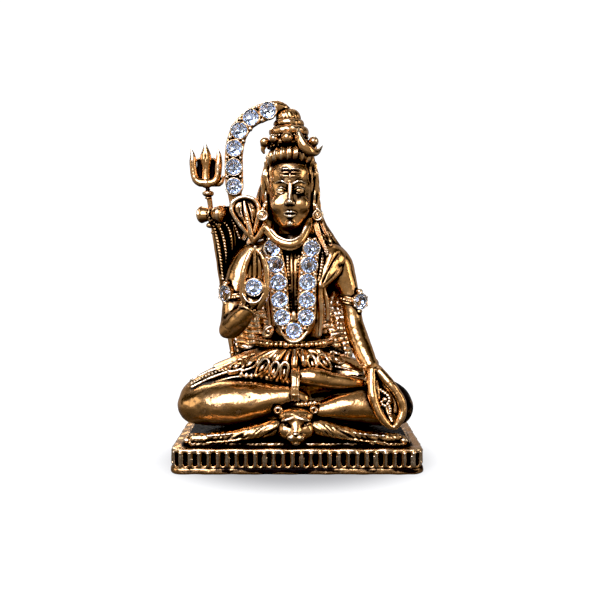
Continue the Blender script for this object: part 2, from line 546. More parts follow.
def left_arm(f):
    # hand hanging over the knee; thumb and fingers curl round a dark hollow
    f.ell((14.9, -6.4, 18.3), (1.9, 1.3, 1.7), rot=(0, -14, 0), k=0.6)
    f.ell((16.3, -6.9, 15.0), (2.4, 0.8, 3.2), rot=(0, -14, 0), k=0.5)
    f.ell((16.7, -8.1, 14.0), (1.6, 1.1, 3.3), rot=(0, -12, 0), k=0.3, op="cut")
    f.tube([(14.3, -6.9, 19.0, 1.0), (14.1, -7.9, 16.4, 0.9), (14.3, -8.5, 14.6, 0.95),
        (14.7, -8.8, 13.0, 0.82), (15.4, -9.1, 11.3, 0.86), (16.6, -9.3, 9.6, 0.76),
        (17.7, -9.3, 8.7, 0.5)], k=0.2)
    f.tube([(15.7, -7.2, 18.8, 0.95), (17.3, -7.9, 17.0, 0.95), (18.7, -8.3, 15.2, 0.84),
        (19.6, -8.6, 13.4, 0.92), (19.9, -8.8, 11.6, 0.78), (19.4, -9.0, 10.1, 0.82),
        (18.4, -9.2, 8.7, 0.6)], k=0.2)
    f.tube([(15.0, -7.6, 17.0, 0.45), (15.1, -8.2, 15.4, 0.6), (15.3, -8.4, 13.9, 0.42)], k=0.12)
    f.tube([(16.2, -7.4, 16.9, 0.4), (17.2, -7.8, 15.7, 0.55), (17.9, -8.0, 14.6, 0.4),
        (18.6, -8.3, 13.2, 0.5), (18.6, -8.6, 11.6, 0.36)], k=0.1)
    for x, top, low in ((15.4, 12.6, 9.4), (16.5, 12.2, 8.6), (17.5, 12.0, 8.4)):
        finger(f, (x - 0.5, -7.4, top), (x - 0.1, -7.9, top - 1.4), (x + 0.4, -8.5, low + 1.4),
            (x + 0.7, -9.0, low), 0.46)
    return f


def head():
    f = Field((-8.4, -6.6, 44.6), (5.8, 7.4, 63.2), FINE)
    m = HEAD_X
    f.ell((m, 1.0, 54.8), (4.75, 5.2, 6.5), k=0)
    f.ell((m, -0.6, 50.4), (3.95, 3.7, 4.5), k=1.0)
    f.ell((m, -2.1, 46.95), (1.8, 1.6, 1.15), k=1.0)
    f.tube([(m, 1.3, 43.6, 2.4), (m, 1.2, 48.0, 2.2)], k=0.7)
    f.ell((m, -2.5, 56.6), (3.3, 1.6, 2.3), k=0.9)
    for s, at in sides(m):
        f.ell(at(2.3, -3.1, 50.6), (1.35, 1.0, 1.4), k=0.7)
        f.ell(at(1.75, -4.35, 53.25), (1.1, 0.8, 0.68), k=0.5, op="cut")
        f.ell(at(1.75, -3.4, 53.2), (0.92, 0.66, 0.56), k=0.1)
        f.ball(at(1.75, -4.22, 53.2), 0.22, k=0.06, op="cut")
        f.tube([at(0.85, -4.0, 53.4, 0.12), at(1.7, -4.22, 53.75, 0.16), at(2.7, -3.6, 53.45, 0.12)],
            k=0.07)
        f.tube([at(0.95, -3.95, 52.95, 0.08), at(1.7, -4.1, 52.65, 0.11), at(2.6, -3.6, 52.95, 0.08)],
            k=0.07)
        f.tube([at(0.7, -4.4, 54.5, 0.2), at(1.8, -4.3, 55.0, 0.22), at(3.1, -3.4, 54.5, 0.12)], k=0.22)
        f.ball(at(0.58, -4.8, 50.75), 0.42, k=0.22)
        f.ball(at(0.3, -5.1, 50.4), 0.17, k=0.06, op="cut")
        f.tube([at(1.3, -4.5, 50.6, 0.1), at(1.75, -4.2, 49.7, 0.1)], k=0.25, op="cut")
        f.ell(at(4.55, 0.3, 52.6), (0.62, 1.2, 1.8), rot=(0, s * 6, s * 18), k=0.25)
        f.ell(at(5.0, -0.15, 52.8), (0.38, 0.7, 1.1), rot=(0, 0, s * 18), k=0.12, op="cut")
        f.ell(at(4.65, -0.35, 50.4), (0.45, 0.6, 1.2), k=0.3)
    f.tube([(m, -4.3, 54.4, 0.36), (m, -4.7, 52.6, 0.42), (m, -5.15, 51.1, 0.55)], k=0.32)
    f.ball((m, -5.25, 50.95), 0.5, k=0.25)
    f.tube([(m - 1.2, -4.1, 48.9, 0.14), (m - 0.5, -4.55, 49.15, 0.28), (m, -4.6, 49.05, 0.22),
        (m + 0.5, -4.55, 49.15, 0.28), (m + 1.2, -4.1, 48.9, 0.14)], k=0.12)
    f.tube([(m - 1.1, -4.05, 48.6, 0.14), (m, -4.55, 48.3, 0.36), (m + 1.1, -4.05, 48.6, 0.14)], k=0.12)
    f.tube([(m - 1.35, -4.3, 48.78, 0.08), (m, -4.95, 48.72, 0.1), (m + 1.35, -4.3, 48.78, 0.08)], k=0.07,
        op="cut")
    f.tube([(m, -5.0, 50.1, 0.1), (m, -4.85, 49.5, 0.13)], k=0.12, op="cut")
    f.ball((m, -3.75, 46.9), 0.65, k=0.5)
    for j in range(3):
        z = 55.9 + 0.68 * j
        for _, at in sides(m):
            f.tube([at(0.35, -4.3, z, 0.2), at(1.1, -4.22, z, 0.22), at(1.95, -3.9, z - 0.08, 0.18)],
                k=0.06)
    f.ell((m, -4.4, 55.9), (0.2, 0.25, 0.6), k=0.06)
    # hair: a rolled wave over the brow, drawn up to the crown, as strands
    cap = f.blank()
    cap.ell((m, 1.6, 55.6), (5.45, 5.3, 6.6), k=0)
    cap.ell((m, 1.5, 59.8), (4.7, 4.6, 2.6), k=0.8)
    roll = [(m + 4.6, 0.4, 56.8, 0.7), (m + 4.1, -1.0, 58.6, 0.85), (m + 2.5, -2.7, 59.9, 1.2),
        (m, -3.15, 60.25, 1.3)]
    cap.tube(roll + [(2 * m - a, b, c, r) for a, b, c, r in roll[-2::-1]], k=0.35)
    for _, at in sides(m):
        cap.tube([at(4.55, -0.6, 56.4, 0.95), at(4.8, 0.4, 53.6, 0.95), at(4.75, 1.6, 50.4, 1.15),
            at(4.7, 2.6, 46.0, 1.4)], k=0.4)
    _, (x, y, z) = cap.everywhere()
    turned = np.arctan2(x - m, -(y - 1.6))
    coarse, fine = 26 * turned + 0.9 * np.sin(0.9 * z) + 1.5, 61 * turned + 1.7 * np.sin(0.7 * z)
    cap.d -= (0.15 * np.cos(coarse) + 0.06 * np.cos(fine)).astype(np.float32)
    line = 58.5 - 0.13 * (x - m) ** 2 - 0.011 * (x - m) ** 4
    inside = np.minimum(line - z, -(y + 0.15) * 0.9 - 0.4) * 0.75
    cap.d = -smin(-cap.d, -np.where(y < 1.2, inside, -FAR).astype(np.float32), 0.15)
    f.d = smin(f.d, cap.d, 0.06)
    f.between(NECK, CROWN)
    return f


def topknot():
    f = Field((-7.4, -4.2, 59.4), (4.0, 7.8, 70.2), FINE)
    cx, cy = -1.65, 1.8
    f.tube([(cx, cy, 61.6, 3.7), (cx, cy, 64.4, 3.3), (cx, cy, 66.2, 2.4), (cx, cy, 67.6, 1.7)])
    for z, r, t in ((62.4, 3.4, 0.8), (63.4, 3.1, 0.6), (65.0, 2.9, 1.05), (66.55, 2.15, 0.9)):
        f.ring((cx, cy, z), r, t, k=0.12)
    f.ell((cx - 0.1, cy, 67.75), (2.5, 2.3, 1.95), k=0.06)

    def coil(x, y, z):
        a = np.arctan2(x - cx, -(y - cy))
        return 0.03 * np.cos(16 * a + 3.0 * z)

    f.carve(coil, low=60.0)
    f.tube([(cx, cy, 59.9, 0.95), (cx, cy, 61.9, 0.95)])
    return f


def topknot_beads():
    f = Field((-8.6, -4.6, 60.4), (5.0, 7.8, 66.4), FINE)
    cx, cy = -1.6, 1.8
    for a, reach, r, z in ((210, 5.4, 0.95, 62.75), (235, 5.1, 0.85, 63.15), (266, 4.8, 1.1, 63.3),
            (293, 4.8, 0.85, 63.1), (330, 5.5, 1.0, 62.8), (60, 4.7, 0.9, 62.8), (120, 4.7, 0.9, 62.8),
            (180, 5.0, 0.7, 62.6)):
        a = math.radians(a)
        f.ball((cx + reach * math.cos(a), cy + reach * math.sin(a), z), r, k=0.1)
    f.ring((cx, cy, 62.7), 4.1, 0.62, k=0.1)
    for c, s in around(30):
        f.ball((cx + 3.6 * c, cy + 3.7 * s, 63.95), 0.3, k=0.05)
    for c, s in around(26, 0.5):
        f.ball((cx + 4.2 * c, cy + 4.3 * s, 61.95), 0.22, k=0.1)
    for _, at in sides(cx):
        f.tube([at(4.6, -0.6, 62.4, 0.5), at(5.1, -0.4, 61.4, 0.45), at(4.9, -0.2, 60.8, 0.3)], k=0.15)
    return f


def crescent_moon():
    f = Field((-1.0, -5.6, 59.0), (6.0, -1.2, 66.0), FINE * 0.9)
    horns = [
        (0.25, -3.6, 65.0, 0.14), (0.4, -4.2, 63.5, 0.58), (1.0, -4.6, 61.9, 0.86), (2.1, -4.4, 60.8, 0.95),
        (3.2, -3.6, 60.4, 0.76), (4.15, -2.9, 60.8, 0.44), (4.9, -2.4, 61.8, 0.1),
    ]
    f.tube(horns, count=40, squash=((0.3, 1, 0), 0.7))
    return f


def lock(f, path, waves=5, flat=0.6, depth=0.14):
    """Tapering lock of hair with combed grooves along it."""
    rr = [p[3] for p in path]

    def section(t, u, v):
        w = np.interp(t, np.linspace(0, 1, len(rr)), rr).astype(np.float32)
        q = np.sqrt(u * u + (v / flat) ** 2)
        return (q - w) * 0.75 + depth * np.cos(waves * np.arctan2(v / flat, u) * 2 + 3.0 * t)

    f.sweep(path, (0, 1, 0), section, max(rr) * 1.3 + 0.3, k=0.1)


def shoulder_locks():
    f = Field((-13.5, -4.4, 36.0), (13.4, 6.4, 61.0), FINE * 1.15)
    right = [
        [(2.8, 0.6, 57.6, 0.9), (3.3, 1.2, 54.4, 1.0), (3.7, 1.6, 51.2, 1.1), (4.4, 1.4, 47.8, 1.2),
            (5.6, 0.6, 44.8, 1.1), (6.8, -0.4, 42.6, 0.6)],
        [(3.0, 1.8, 57.0, 0.9), (3.6, 2.6, 53.6, 1.0), (4.0, 3.0, 50.0, 1.2), (5.0, 3.0, 46.8, 1.4),
            (6.6, 2.2, 44.2, 1.3), (8.2, 1.6, 42.2, 0.7)],
        [(2.7, 0.2, 54.4, 0.5), (3.1, 0.2, 51.4, 0.7), (3.4, 0.0, 48.0, 0.8), (4.2, -0.8, 45.0, 0.8),
            (5.2, -1.6, 42.8, 0.6), (5.9, -2.2, 40.8, 0.3)],
        [(3.6, 3.4, 52.0, 0.8), (4.8, 3.6, 47.6, 1.1), (6.6, 3.2, 44.6, 1.2), (8.6, 2.6, 42.0, 0.8)],
    ]
    left = [
        [(-5.6, 0.6, 57.6, 0.9), (-6.4, 1.2, 54.4, 1.0), (-6.7, 1.6, 51.2, 1.1), (-7.3, 1.4, 47.8, 1.1),
            (-8.4, 0.8, 45.0, 1.0), (-9.8, 0.2, 43.0, 0.5)],
        [(-5.9, 2.0, 57.0, 0.9), (-7.1, 2.8, 53.6, 1.0), (-8.2, 3.0, 50.0, 1.2), (-9.4, 2.8, 46.8, 1.2),
            (-10.8, 2.4, 43.8, 0.9)],
        [(-5.4, 0.3, 54.0, 0.5), (-5.9, 0.2, 51.0, 0.7), (-6.2, -0.2, 48.2, 0.7), (-6.6, -0.8, 45.6, 0.5)],
    ]
    for path in right + left:
        lock(f, path)
    f.ell((6.4, -0.6, 43.9), (1.3, 0.8, 0.9), k=0.2, op="cut")
    return f


def back_hair():
    """Long hair that turns into a pleated cloth below the shoulders."""
    f = Field((-14.6, 2.0, 11.2), (13.4, 10.6, 60.8), BODY * 1.1)
    path = [(-1.3, 4.6, 60.0), (-1.2, 5.2, 55.0), (-1.0, 5.2, 48.0), (-1.0, 5.4, 42.0), (-0.8, 5.8, 34.0),
        (-0.8, 6.2, 26.0), (-0.6, 7.2, 18.0), (-0.6, 8.0, 12.4)]
    widths = [4.2, 4.9, 5.3, 9.2, 10.6, 12.6, 12.0, 10.2]
    thick = [0.7, 1.1, 1.3, 1.6, 1.7, 1.7, 1.3, 0.7]

    def section(t, u, v):
        s = np.linspace(0, 1, len(widths))
        w, h = np.interp(t, s, widths), np.interp(t, s, thick)
        flat = rounded(np.abs(u) - w + 0.8, np.abs(v) - h + 0.8, 0.8)
        pleat = fade(t, 0.58, 0.63)
        strand = 0.24 * np.cos(2.1 * u + 1.4 * np.sin(7 * t + 0.4 * u)) * (1 - pleat * fade(v, -0.4, 0.4))
        crumple = 0.5 * np.sin(1.9 * u + 31 * t) + 0.4 * np.sin(3.1 * u - 47 * t)
        groove = np.abs(np.sin(2.8 * (np.abs(u) * 0.16 + 56 * t) + 0.5 * crumple))
        rib = (0.2 * np.sqrt(groove) - 0.1 + 0.2 * crumple) * pleat * fade(v, -0.4, 0.4)
        return flat * 0.8 - strand - rib

    f.sweep(path, (1, 0, 0), section, reach=12.8, count=40)
    return f


def front(f, x, z, default=0.0):
    """How far forward the surface stands at (x, z): the y of its first point from the front."""
    i = int(np.clip(round((x - f.lo[0]) / f.h), 0, f.n[0] - 1))
    k = int(np.clip(round((z - f.lo[2]) / f.h), 0, f.n[2] - 1))
    line = f.d[i, :, k]
    hit = np.nonzero(line < 0)[0]
    if len(hit) == 0:
        return default
    j = hit[0]
    t = line[j - 1] / (line[j - 1] - line[j]) if j > 0 else 0
    return float(f.lo[1] + f.h * (j - 1 + t))


def over(f, x, z, lift, *more):
    """A row lifted off the front of a field towards the viewer."""
    return (x, front(f, x, z) - lift, z, *more)


def skirt():
    """Kilt laid over pelvis and thighs: a thin cloth with radiating folds, rosettes and a patterned hem."""
    f = Field((-25.0, -10.4, 13.0), (24.4, 9.6, 23.6), BODY)
    base = f.blank()
    base.ell((-0.6, 2.6, 15.8), (9.0, 5.6, 8.8), k=0)
    base.tube([(-4.5, 3.0, 16.8, 5.5), (-10, 2.2, 16.1, 5.2), (-15.5, 1.0, 14.6, 4.6),
        (-19.2, -0.4, 13.0, 4.2), (-20.6, -1.2, 12.0, 3.6)], k=1.0)
    base.tube([(3.5, 3.0, 16.6, 5.3), (9.5, 2.0, 15.4, 4.9), (14.5, 1.0, 13.5, 4.3),
        (18.6, -0.6, 12.1, 3.9), (20.2, -1.4, 11.2, 3.3)], k=1.0)
    base.ell((-0.6, -1.6, 19.2), (7.8, 3.6, 4.4), k=1.2)
    _, (x, y, z) = f.everywhere()
    a = np.arctan2(x + 0.6, 24.5 - z + 0 * y)
    fold = 0.3 * np.cos(17 * a + 0.5 * np.sin(0.9 * z)) * fade(24.2 - z + 0 * x, 0.6, 3.0)
    hem = 15.6 + 0.0042 * (x + 0.6) ** 2 + 0.35 * np.abs(np.sin(1.25 * (x + 0.6))) + 0 * y
    low = np.where(x < 0, 0.42 * np.maximum(-x - 9.0, 0) ** 0.62, 0.30 * np.maximum(x - 8.0, 0) ** 0.7)
    cut = np.maximum(hem + low - z, z - 22.7)
    cut = np.maximum(cut, np.abs(x) - 22.0)
    shell = np.maximum(base.d - fold, -(base.d + 1.2))
    f.d = -smin(-shell, -(cut * 0.8).astype(np.float32), 0.25).astype(np.float32)
    # raised hem bands over the right thigh and the left thigh
    for path in (
        [(-21.0, 16.2), (-18.2, 17.6), (-15.0, 18.8), (-12.0, 20.0), (-9.2, 21.0)],
        [(-20.6, 15.2), (-17.4, 16.7), (-14.0, 17.9), (-11.0, 19.0), (-8.4, 20.2)],
        [(-17.0, 15.7), (-13.4, 16.8), (-10.0, 17.2), (-6.8, 17.2)],
        [(8.2, 20.6), (11.2, 19.8), (13.8, 18.8)],
        [(7.6, 18.9), (10.6, 18.2), (13.6, 17.2)],
    ):
        f.tube([over(base, px, pz, 0.12, 0.24) for px, pz in curve(path, 14)], k=0.12)
    for path, n in (([(-20.6, 15.8), (-17.8, 17.2), (-14.4, 18.4), (-11.4, 19.5), (-8.8, 20.6)], 22),
            ([(8.0, 19.7), (11.0, 19.0), (13.7, 18.0)], 10)):
        for px, pz in curve(path, n):
            f.ball(over(base, px, pz, 0.1), 0.26, k=0.06)
    # leaf rosettes: a pointed rim round a long bead
    leaves = [(-9.4, 19.6, 1.25, 2.0, 52), (-6.9, 19.0, 1.05, 2.1, 36), (-4.6, 18.4, 0.95, 2.1, 20),
        (-2.5, 18.2, 0.95, 2.2, 7), (3.0, 19.8, 1.0, 1.9, -18), (5.4, 20.0, 1.05, 1.9, -38),
        (-12.0, 19.0, 1.1, 1.7, 62), (7.8, 20.4, 1.0, 1.6, -56)]
    for cx, cz, w, length, tilt in leaves:
        c, s = math.cos(math.radians(tilt)), math.sin(math.radians(tilt))
        rim, n = [], 22
        for b in np.linspace(0, math.tau, n + 1):
            u, v = w * math.sin(b) * (0.72 + 0.28 * math.cos(b)), length * math.cos(b)
            rim.append(over(base, cx + u * c + v * s, cz - u * s + v * c, 0.34, 0.27))
        y0 = min(q[1] for q in rim)
        f.ell((cx, y0 + 0.45, cz), (w * 0.75, 0.7, length * 0.75), rot=(0, tilt, 0), k=0.15, op="cut")
        f.tube(rim, count=n * 2, k=0.08)
        f.ell((cx, y0 + 0.5, cz), (w * 0.3, 0.5, length * 0.42), rot=(0, tilt, 0), k=0.05)
        f.ball((cx, y0 + 0.25, cz - 0.1), 0.3, k=0.05)
    # plain wedge flaps between the rosettes
    for x0, z0, x1, z1, r in ((-0.4, 22.4, -0.6, 18.0, 0.7), (1.0, 22.4, 1.6, 18.8, 0.65),
            (-3.6, 22.2, -4.8, 20.6, 0.4), (3.8, 22.4, 5.2, 21.6, 0.4)):
        top = (x0, front(base, x0, z0, -2.0) - 0.1, z0, r * 0.5)
        middle = over(base, (x0 + x1) / 2, (z0 + z1) / 2, 0.25, r)
        f.tube([top, middle, over(base, x1, z1, 0.15, r * 0.4)], k=0.15)
    # scalloped fringe along the front hem
    for j in range(13):
        px = -11.0 + 1.02 * j
        pz = 16.7 - 0.05 * (j % 2) + 0.010 * (px + 3.5) ** 2
        f.ell(over(base, px, pz, 0.1), (0.42, 0.4, 0.85), rot=(0, 10 - 1.4 * j, 0), k=0.12)
    return f


def sash():
    f = Field((-2.4, -9.9, 12.2), (2.8, -3.6, 20.4), FINE)
    for x0, r in ((-0.75, 0.34), (-0.3, 0.42), (0.15, 0.34)):
        f.tube([(x0 + 0.1, -5.2, 19.4, r), (x0, -6.9, 18.3, r), (x0, -8.0, 16.6, r),
            (x0 - 0.1, -8.2, 15.0, r), (1.3 * x0, -8.2, 13.6, r * 0.7)], k=0.08)
    f.ring((-0.3, -7.1, 18.2), 0.66, 0.24, rot=(40, 0, 0), k=0.08)
    f.ell((-0.3, -8.2, 14.6), (0.85, 0.45, 0.3), k=0.1)
    return f


def waist_belt():
    f = Field((-9.6, -5.4, 21.4), (8.6, 8.8, 25.4), FINE)
    (cx, cy), half = WAIST_AT, (7.3, 5.1)
    for z, r in ((22.75, 0.14), (24.0, 0.14)):
        f.ring((cx, cy, z), 1.0, r, oval=half, k=0.05)
    sl, (x, y, z) = f.everywhere()
    q = np.sqrt(((x - cx) / half[0]) ** 2 + ((y - cy) / half[1]) ** 2)
    f.put(sl, np.maximum((np.abs(q - 0.96) - 0.03) * 5.4, np.abs(z - 23.4) - 0.6), k=0.05)
    for j, (c, s) in enumerate(around(46)):
        if s < 0.6:
            f.ball((cx + 7.6 * c, cy + 5.5 * s, 23.4), 0.74 if j % 4 == 1 else 0.52, k=0.05)
    return f


def bead_necklaces(body):
    f = Field((-9.0, -6.4, 23.4), (8.4, 1.6, 44.6), FINE)
    lines = [
        ([(4.9, 41.2), (4.8, 39.4), (4.5, 37.4), (4.2, 36.0)], 0.36),
        ([(-6.9, 41.0), (-6.9, 39.4), (-6.6, 37.6), (-6.2, 35.8)], 0.36),
        ([(-1.9, 41.6), (-1.8, 38.6), (-1.45, 35.0), (-1.2, 31.2), (-0.8, 29.4)], 0.34),
        ([(0.4, 41.6), (0.3, 38.6), (0.15, 35.0), (-0.1, 31.2), (-0.5, 29.4)], 0.34),
    ]
    for path, r in lines:
        p = curve(path, 60)
        f.beads([(x, front(body, x, z, -1.0) - r * 0.45, z) for x, z in p], r, k=0.04)
    for x0, x1, r in ((-1.15, -0.95, 0.3), (-0.35, -0.35, 0.34), (0.0, -0.2, 0.22)):
        p = curve([(x0, 42.0), (x0 * 0.9, 38.0), (x1, 33.0), (x1, 30.0)], 12)
        f.tube([(x, front(body, x, z, -2.5) - 0.12, z, r) for x, z in p], k=0.05)
    f.ell((-0.65, -4.2, 29.0), (0.5, 0.55, 1.2), k=0.08)
    f.ell((-5.6, -2.6, 26.0), (1.5, 0.5, 1.0), rot=(0, -50, 0), k=0.05)
    f.ell((-5.6, -3.1, 26.0), (1.1, 0.4, 0.6), rot=(0, -50, 0), k=0.05, op="cut")
    f.ball((-5.6, -2.95, 26.0), 0.42, k=0.05)
    return f


def cobra():
    f = Field((-14.4, -6.6, 41.2), (5.8, 4.6, 53.2), FINE)
    # hood: a shallow cup with a rolled rim and a central ridge
    outline = [(-8.7, 43.8), (-10.0, 45.4), (-11.6, 47.4), (-12.7, 49.4), (-12.6, 51.0), (-11.4, 51.9),
        (-9.9, 52.1), (-8.4, 51.6), (-7.5, 50.3), (-7.5, 48.6), (-8.0, 46.8), (-8.4, 45.2)]
    rim = curve(outline + outline[:1], 60)
    for (x0, z0), (x1, z1) in zip(rim[:-1], rim[1:]):
        f.tube([(x, -1.5 + 0.05 * abs(z - 49.5), z, 0.33) for x, z in ((x0, z0), (x1, z1))])
    f.ell((-10.1, -0.6, 49.6), (2.6, 0.75, 2.55), k=0.2)
    f.ell((-9.2, -0.7, 46.6), (1.3, 0.7, 2.6), rot=(0, -22, 0), k=0.4)
    f.ell((-10.15, -1.95, 49.7), (2.2, 0.95, 2.05), k=0.25, op="cut")
    f.tube([(-10.3, -1.35, 51.3, 0.22), (-10.0, -1.5, 49.4, 0.42), (-9.5, -1.6, 47.2, 0.5),
        (-9.0, -1.6, 45.2, 0.5), (-8.5, -1.5, 43.6, 0.45)], k=0.15)
    for s in (-1, 1):
        f.tube([(-10.2 + s * 0.75, -1.25, 50.8, 0.12), (-9.9 + s * 1.0, -1.35, 49.0, 0.17),
            (-9.4 + s * 0.7, -1.4, 47.0, 0.15)], k=0.1)
        f.ball((-9.9 + s * 1.3, -1.2, 50.2), 0.3, k=0.1)
    for j in range(6):
        z = 48.2 - 0.7 * j
        f.tube([(-9.6 + 0.13 * j - 0.42, -1.98, z, 0.07), (-9.6 + 0.13 * j + 0.42, -1.98, z, 0.07)], k=0.05,
            op="cut")
    # body: once round the neck, hanging in a low loop in front
    coil = [(-8.6, -1.2, 43.4, 0.5), (-7.4, -1.9, 44.6, 0.62), (-6.2, -2.2, 46.2, 0.72),
        (-5.0, -2.7, 45.0, 0.85), (-3.6, -3.3, 43.6, 0.95), (-1.3, -3.7, 42.9, 1.0),
        (0.6, -3.3, 43.8, 0.95), (1.7, -2.5, 45.6, 0.85), (2.3, -1.2, 47.4, 0.75), (2.8, 0.6, 48.2, 0.6)]
    f.tube(coil, k=0.2)
    f.tube([(a, b - 0.35, c - 0.95, 0.3) for a, b, c, r in coil[2:8]], k=0.1)
    f.tube([(a, b - 0.7, c + 0.75, 0.28) for a, b, c, r in coil[3:8]], k=0.1)
    return f


STREAM = [(-5.7, 0.2, 69.0, 0), (-9.0, 0.2, 67.6, 0), (-11.3, 0.2, 65.1, 0), (-12.3, 0.2, 61.7, 0),
    (-12.45, 0.2, 58.05, 0), (-12.4, 0.2, 54.3, 0)]
GARLAND = [(-4.8, -3.3, 42.2, -12), (-4.2, -3.9, 39.0, -10), (-3.6, -4.2, 35.7, -6), (-3.4, -4.2, 32.3, -4),
    (-2.9, -4.1, 28.9, -3), (-0.6, -4.1, 26.3, 0), (1.7, -4.1, 28.9, 3), (1.9, -4.2, 32.3, 4),
    (2.0, -4.2, 35.7, 6), (2.3, -3.9, 39.0, 10), (2.8, -3.3, 42.2, 12)]
PALM = (-8.1, -7.4, 34.9, 0)
BAND_R = (-14.2, -2.4, 33.4, -42)
BAND_L = (12.6, -0.9, 31.7, 30)


def facing(yaw):
    """Columns: the stone's own x, y and outward axis, for a stone that faces -Y turned by yaw."""
    return turn(0, 0, yaw) @ turn(90, 0, 0)


def cup(f, stone, r=1.78, deep=1.5, k=0.1):
    """Round cup under a stone, with a seat and a thin rim."""
    x, y, z, yaw = stone
    out = facing(yaw)[:, 2]
    c = np.array((x, y, z))
    f.tube([(*(c - out * deep), r * 0.96), (*(c - out * 0.55), r * 0.96)], k=k)
    f.ring(c - out * 0.12, r - 0.22, 0.25, rot=aim(out), k=0.1)
    f.tube([(*(c + out * 1.9), 1.53), (*(c + out * 1.45), 1.53)], k=0.0, op="cut")
    f.ell(c + out * 0.1, (1.53, 1.53, 1.2), rot=aim(out), k=0.03, op="cut")


def prongs(f, stones, half):
    """Pairs of bead prongs that grip the stones from the gaps between neighbours."""
    r = 0.36
    for p, q in zip(stones[:-1], stones[1:]):
        a, b = np.array(p[:3]), np.array(q[:3])
        mid, out = (a + b) / 2, (facing(p[3])[:, 2] + facing(q[3])[:, 2]) / 2
        across = np.cross(b - a, out)
        across /= np.linalg.norm(across)
        for s in (-1, 1):
            c = mid + s * half * across
            f.ball(c + out * 0.12, r, k=0.06)
            f.tube([(*(c - out * 0.7), r * 1.1), (*(c + out * 0.05), r)], k=0.1)


def strip(f, stones, half, deep=0.8):
    """The backing that runs under a row of stones, with a raised line along each side."""
    p = np.array([q[:3] for q in stones], float)
    out = np.array([facing(q[3])[:, 2] for q in stones])
    c = curve(np.hstack([p, out]), len(stones) * 6)
    pos, n = c[:, :3], c[:, 3:]
    n /= np.linalg.norm(n, axis=1)[:, None]
    tan = np.gradient(pos, axis=0)
    across = np.cross(tan, n)
    across /= np.linalg.norm(across, axis=1)[:, None]
    core = [(*(a - b * (deep + 0.1)), half * 0.8) for a, b in zip(pos, n)]
    f.tube(core, k=0.1, count=len(core), squash=(n.mean(0), 0.42))
    for s in (-1, 1):
        f.tube([(*(a - b * 0.55 + s * half * d), 0.3) for a, b, d in zip(pos, n, across)], k=0.15,
            count=len(pos))


def river_stream():
    f = Field((-15.2, -2.6, 46.0), (-0.6, 5.4, 72.2), FINE)
    strip(f, STREAM, 1.5)
    for s in STREAM:
        cup(f, s, deep=1.4)
    prongs(f, STREAM, 1.35)
    f.tube([(-6.2, 1.2, 69.4, 1.3), (-4.4, 1.2, 69.7, 1.35), (-3.0, 1.4, 69.6, 1.15),
        (-1.9, 1.8, 69.0, 0.9)], k=0.3)
    for j in range(5):
        f.ball((-4.6 + 0.62 * j, 0.1 + 0.15 * j, 70.2 - 0.16 * j), 0.36, k=0.1)
    f.tube([(-12.4, 1.2, 53.8, 1.45), (-12.2, 1.5, 51.4, 1.3), (-11.8, 1.9, 49.0, 1.1),
        (-11.4, 2.1, 47.0, 0.8)], k=0.3, squash=((0, 1, 0), 0.6))
    for s in STREAM:
        cup(f, s, deep=0.9, k=0.05)
    return f


def garland(body):
    f = Field((-7.4, -6.2, 22.6), (5.6, 0.6, 45.4), FINE)
    strip(f, GARLAND, 1.5, deep=1.0)
    for s in GARLAND:
        cup(f, s, deep=1.9)
    prongs(f, GARLAND, 1.3)
    for s in (GARLAND[0], GARLAND[-1]):
        f.ball((s[0] - 0.6, s[1] - 0.1, s[2] + 1.75), 0.36, k=0.1)
        f.ball((s[0] + 0.6, s[1] - 0.1, s[2] + 1.75), 0.36, k=0.1)
    f.tube([(-3.0, -3.9, 26.0, 0.3), (-1.9, -4.0, 24.6, 0.32), (-0.6, -4.1, 24.1, 0.34),
        (0.8, -4.0, 24.6, 0.32), (1.9, -3.9, 26.0, 0.3)], k=0.15)
    for s in GARLAND:
        cup(f, s, deep=1.0, k=0.05)
    return f


def ring_drop(f, lobe, centre):
    """Ear ornament: ring with a ball in it, hung from two beads."""
    x, y, z = centre
    f.ring(centre, 0.88, 0.27, rot=(90, 0, 0), k=0.05)
    f.ring((x, y - 0.12, z), 0.45, 0.14, rot=(90, 0, 0), k=0.05)
    f.ball((x, y - 0.05, z), 0.34, k=0.05)
    a, b = np.array(lobe), np.array((x, y, z + 1.0))
    f.tube([(*a, 0.28), (*b, 0.24)], k=0.08)
    for t in (0.1, 0.5, 0.9):
        f.ball(a + (b - a) * t, 0.42, k=0.08)


def earring(side):
    c = (-6.7, -1.9, 48.6) if side < 0 else (4.0, -1.0, 48.6)
    lobe = (-5.9, -0.3, 51.4) if side < 0 else (3.2, -0.3, 51.4)
    f = Field((c[0] - 2.2, -3.6, 46.2), (c[0] + 2.2, 1.8, 54.4), FINE * 0.9)
    ring_drop(f, lobe, c)
    for j, z in enumerate((52.2, 53.1)):
        f.ball((lobe[0] + 0.1 * j, -0.2 + 0.2 * j, z), 0.46 - 0.05 * j, k=0.08)
    return f


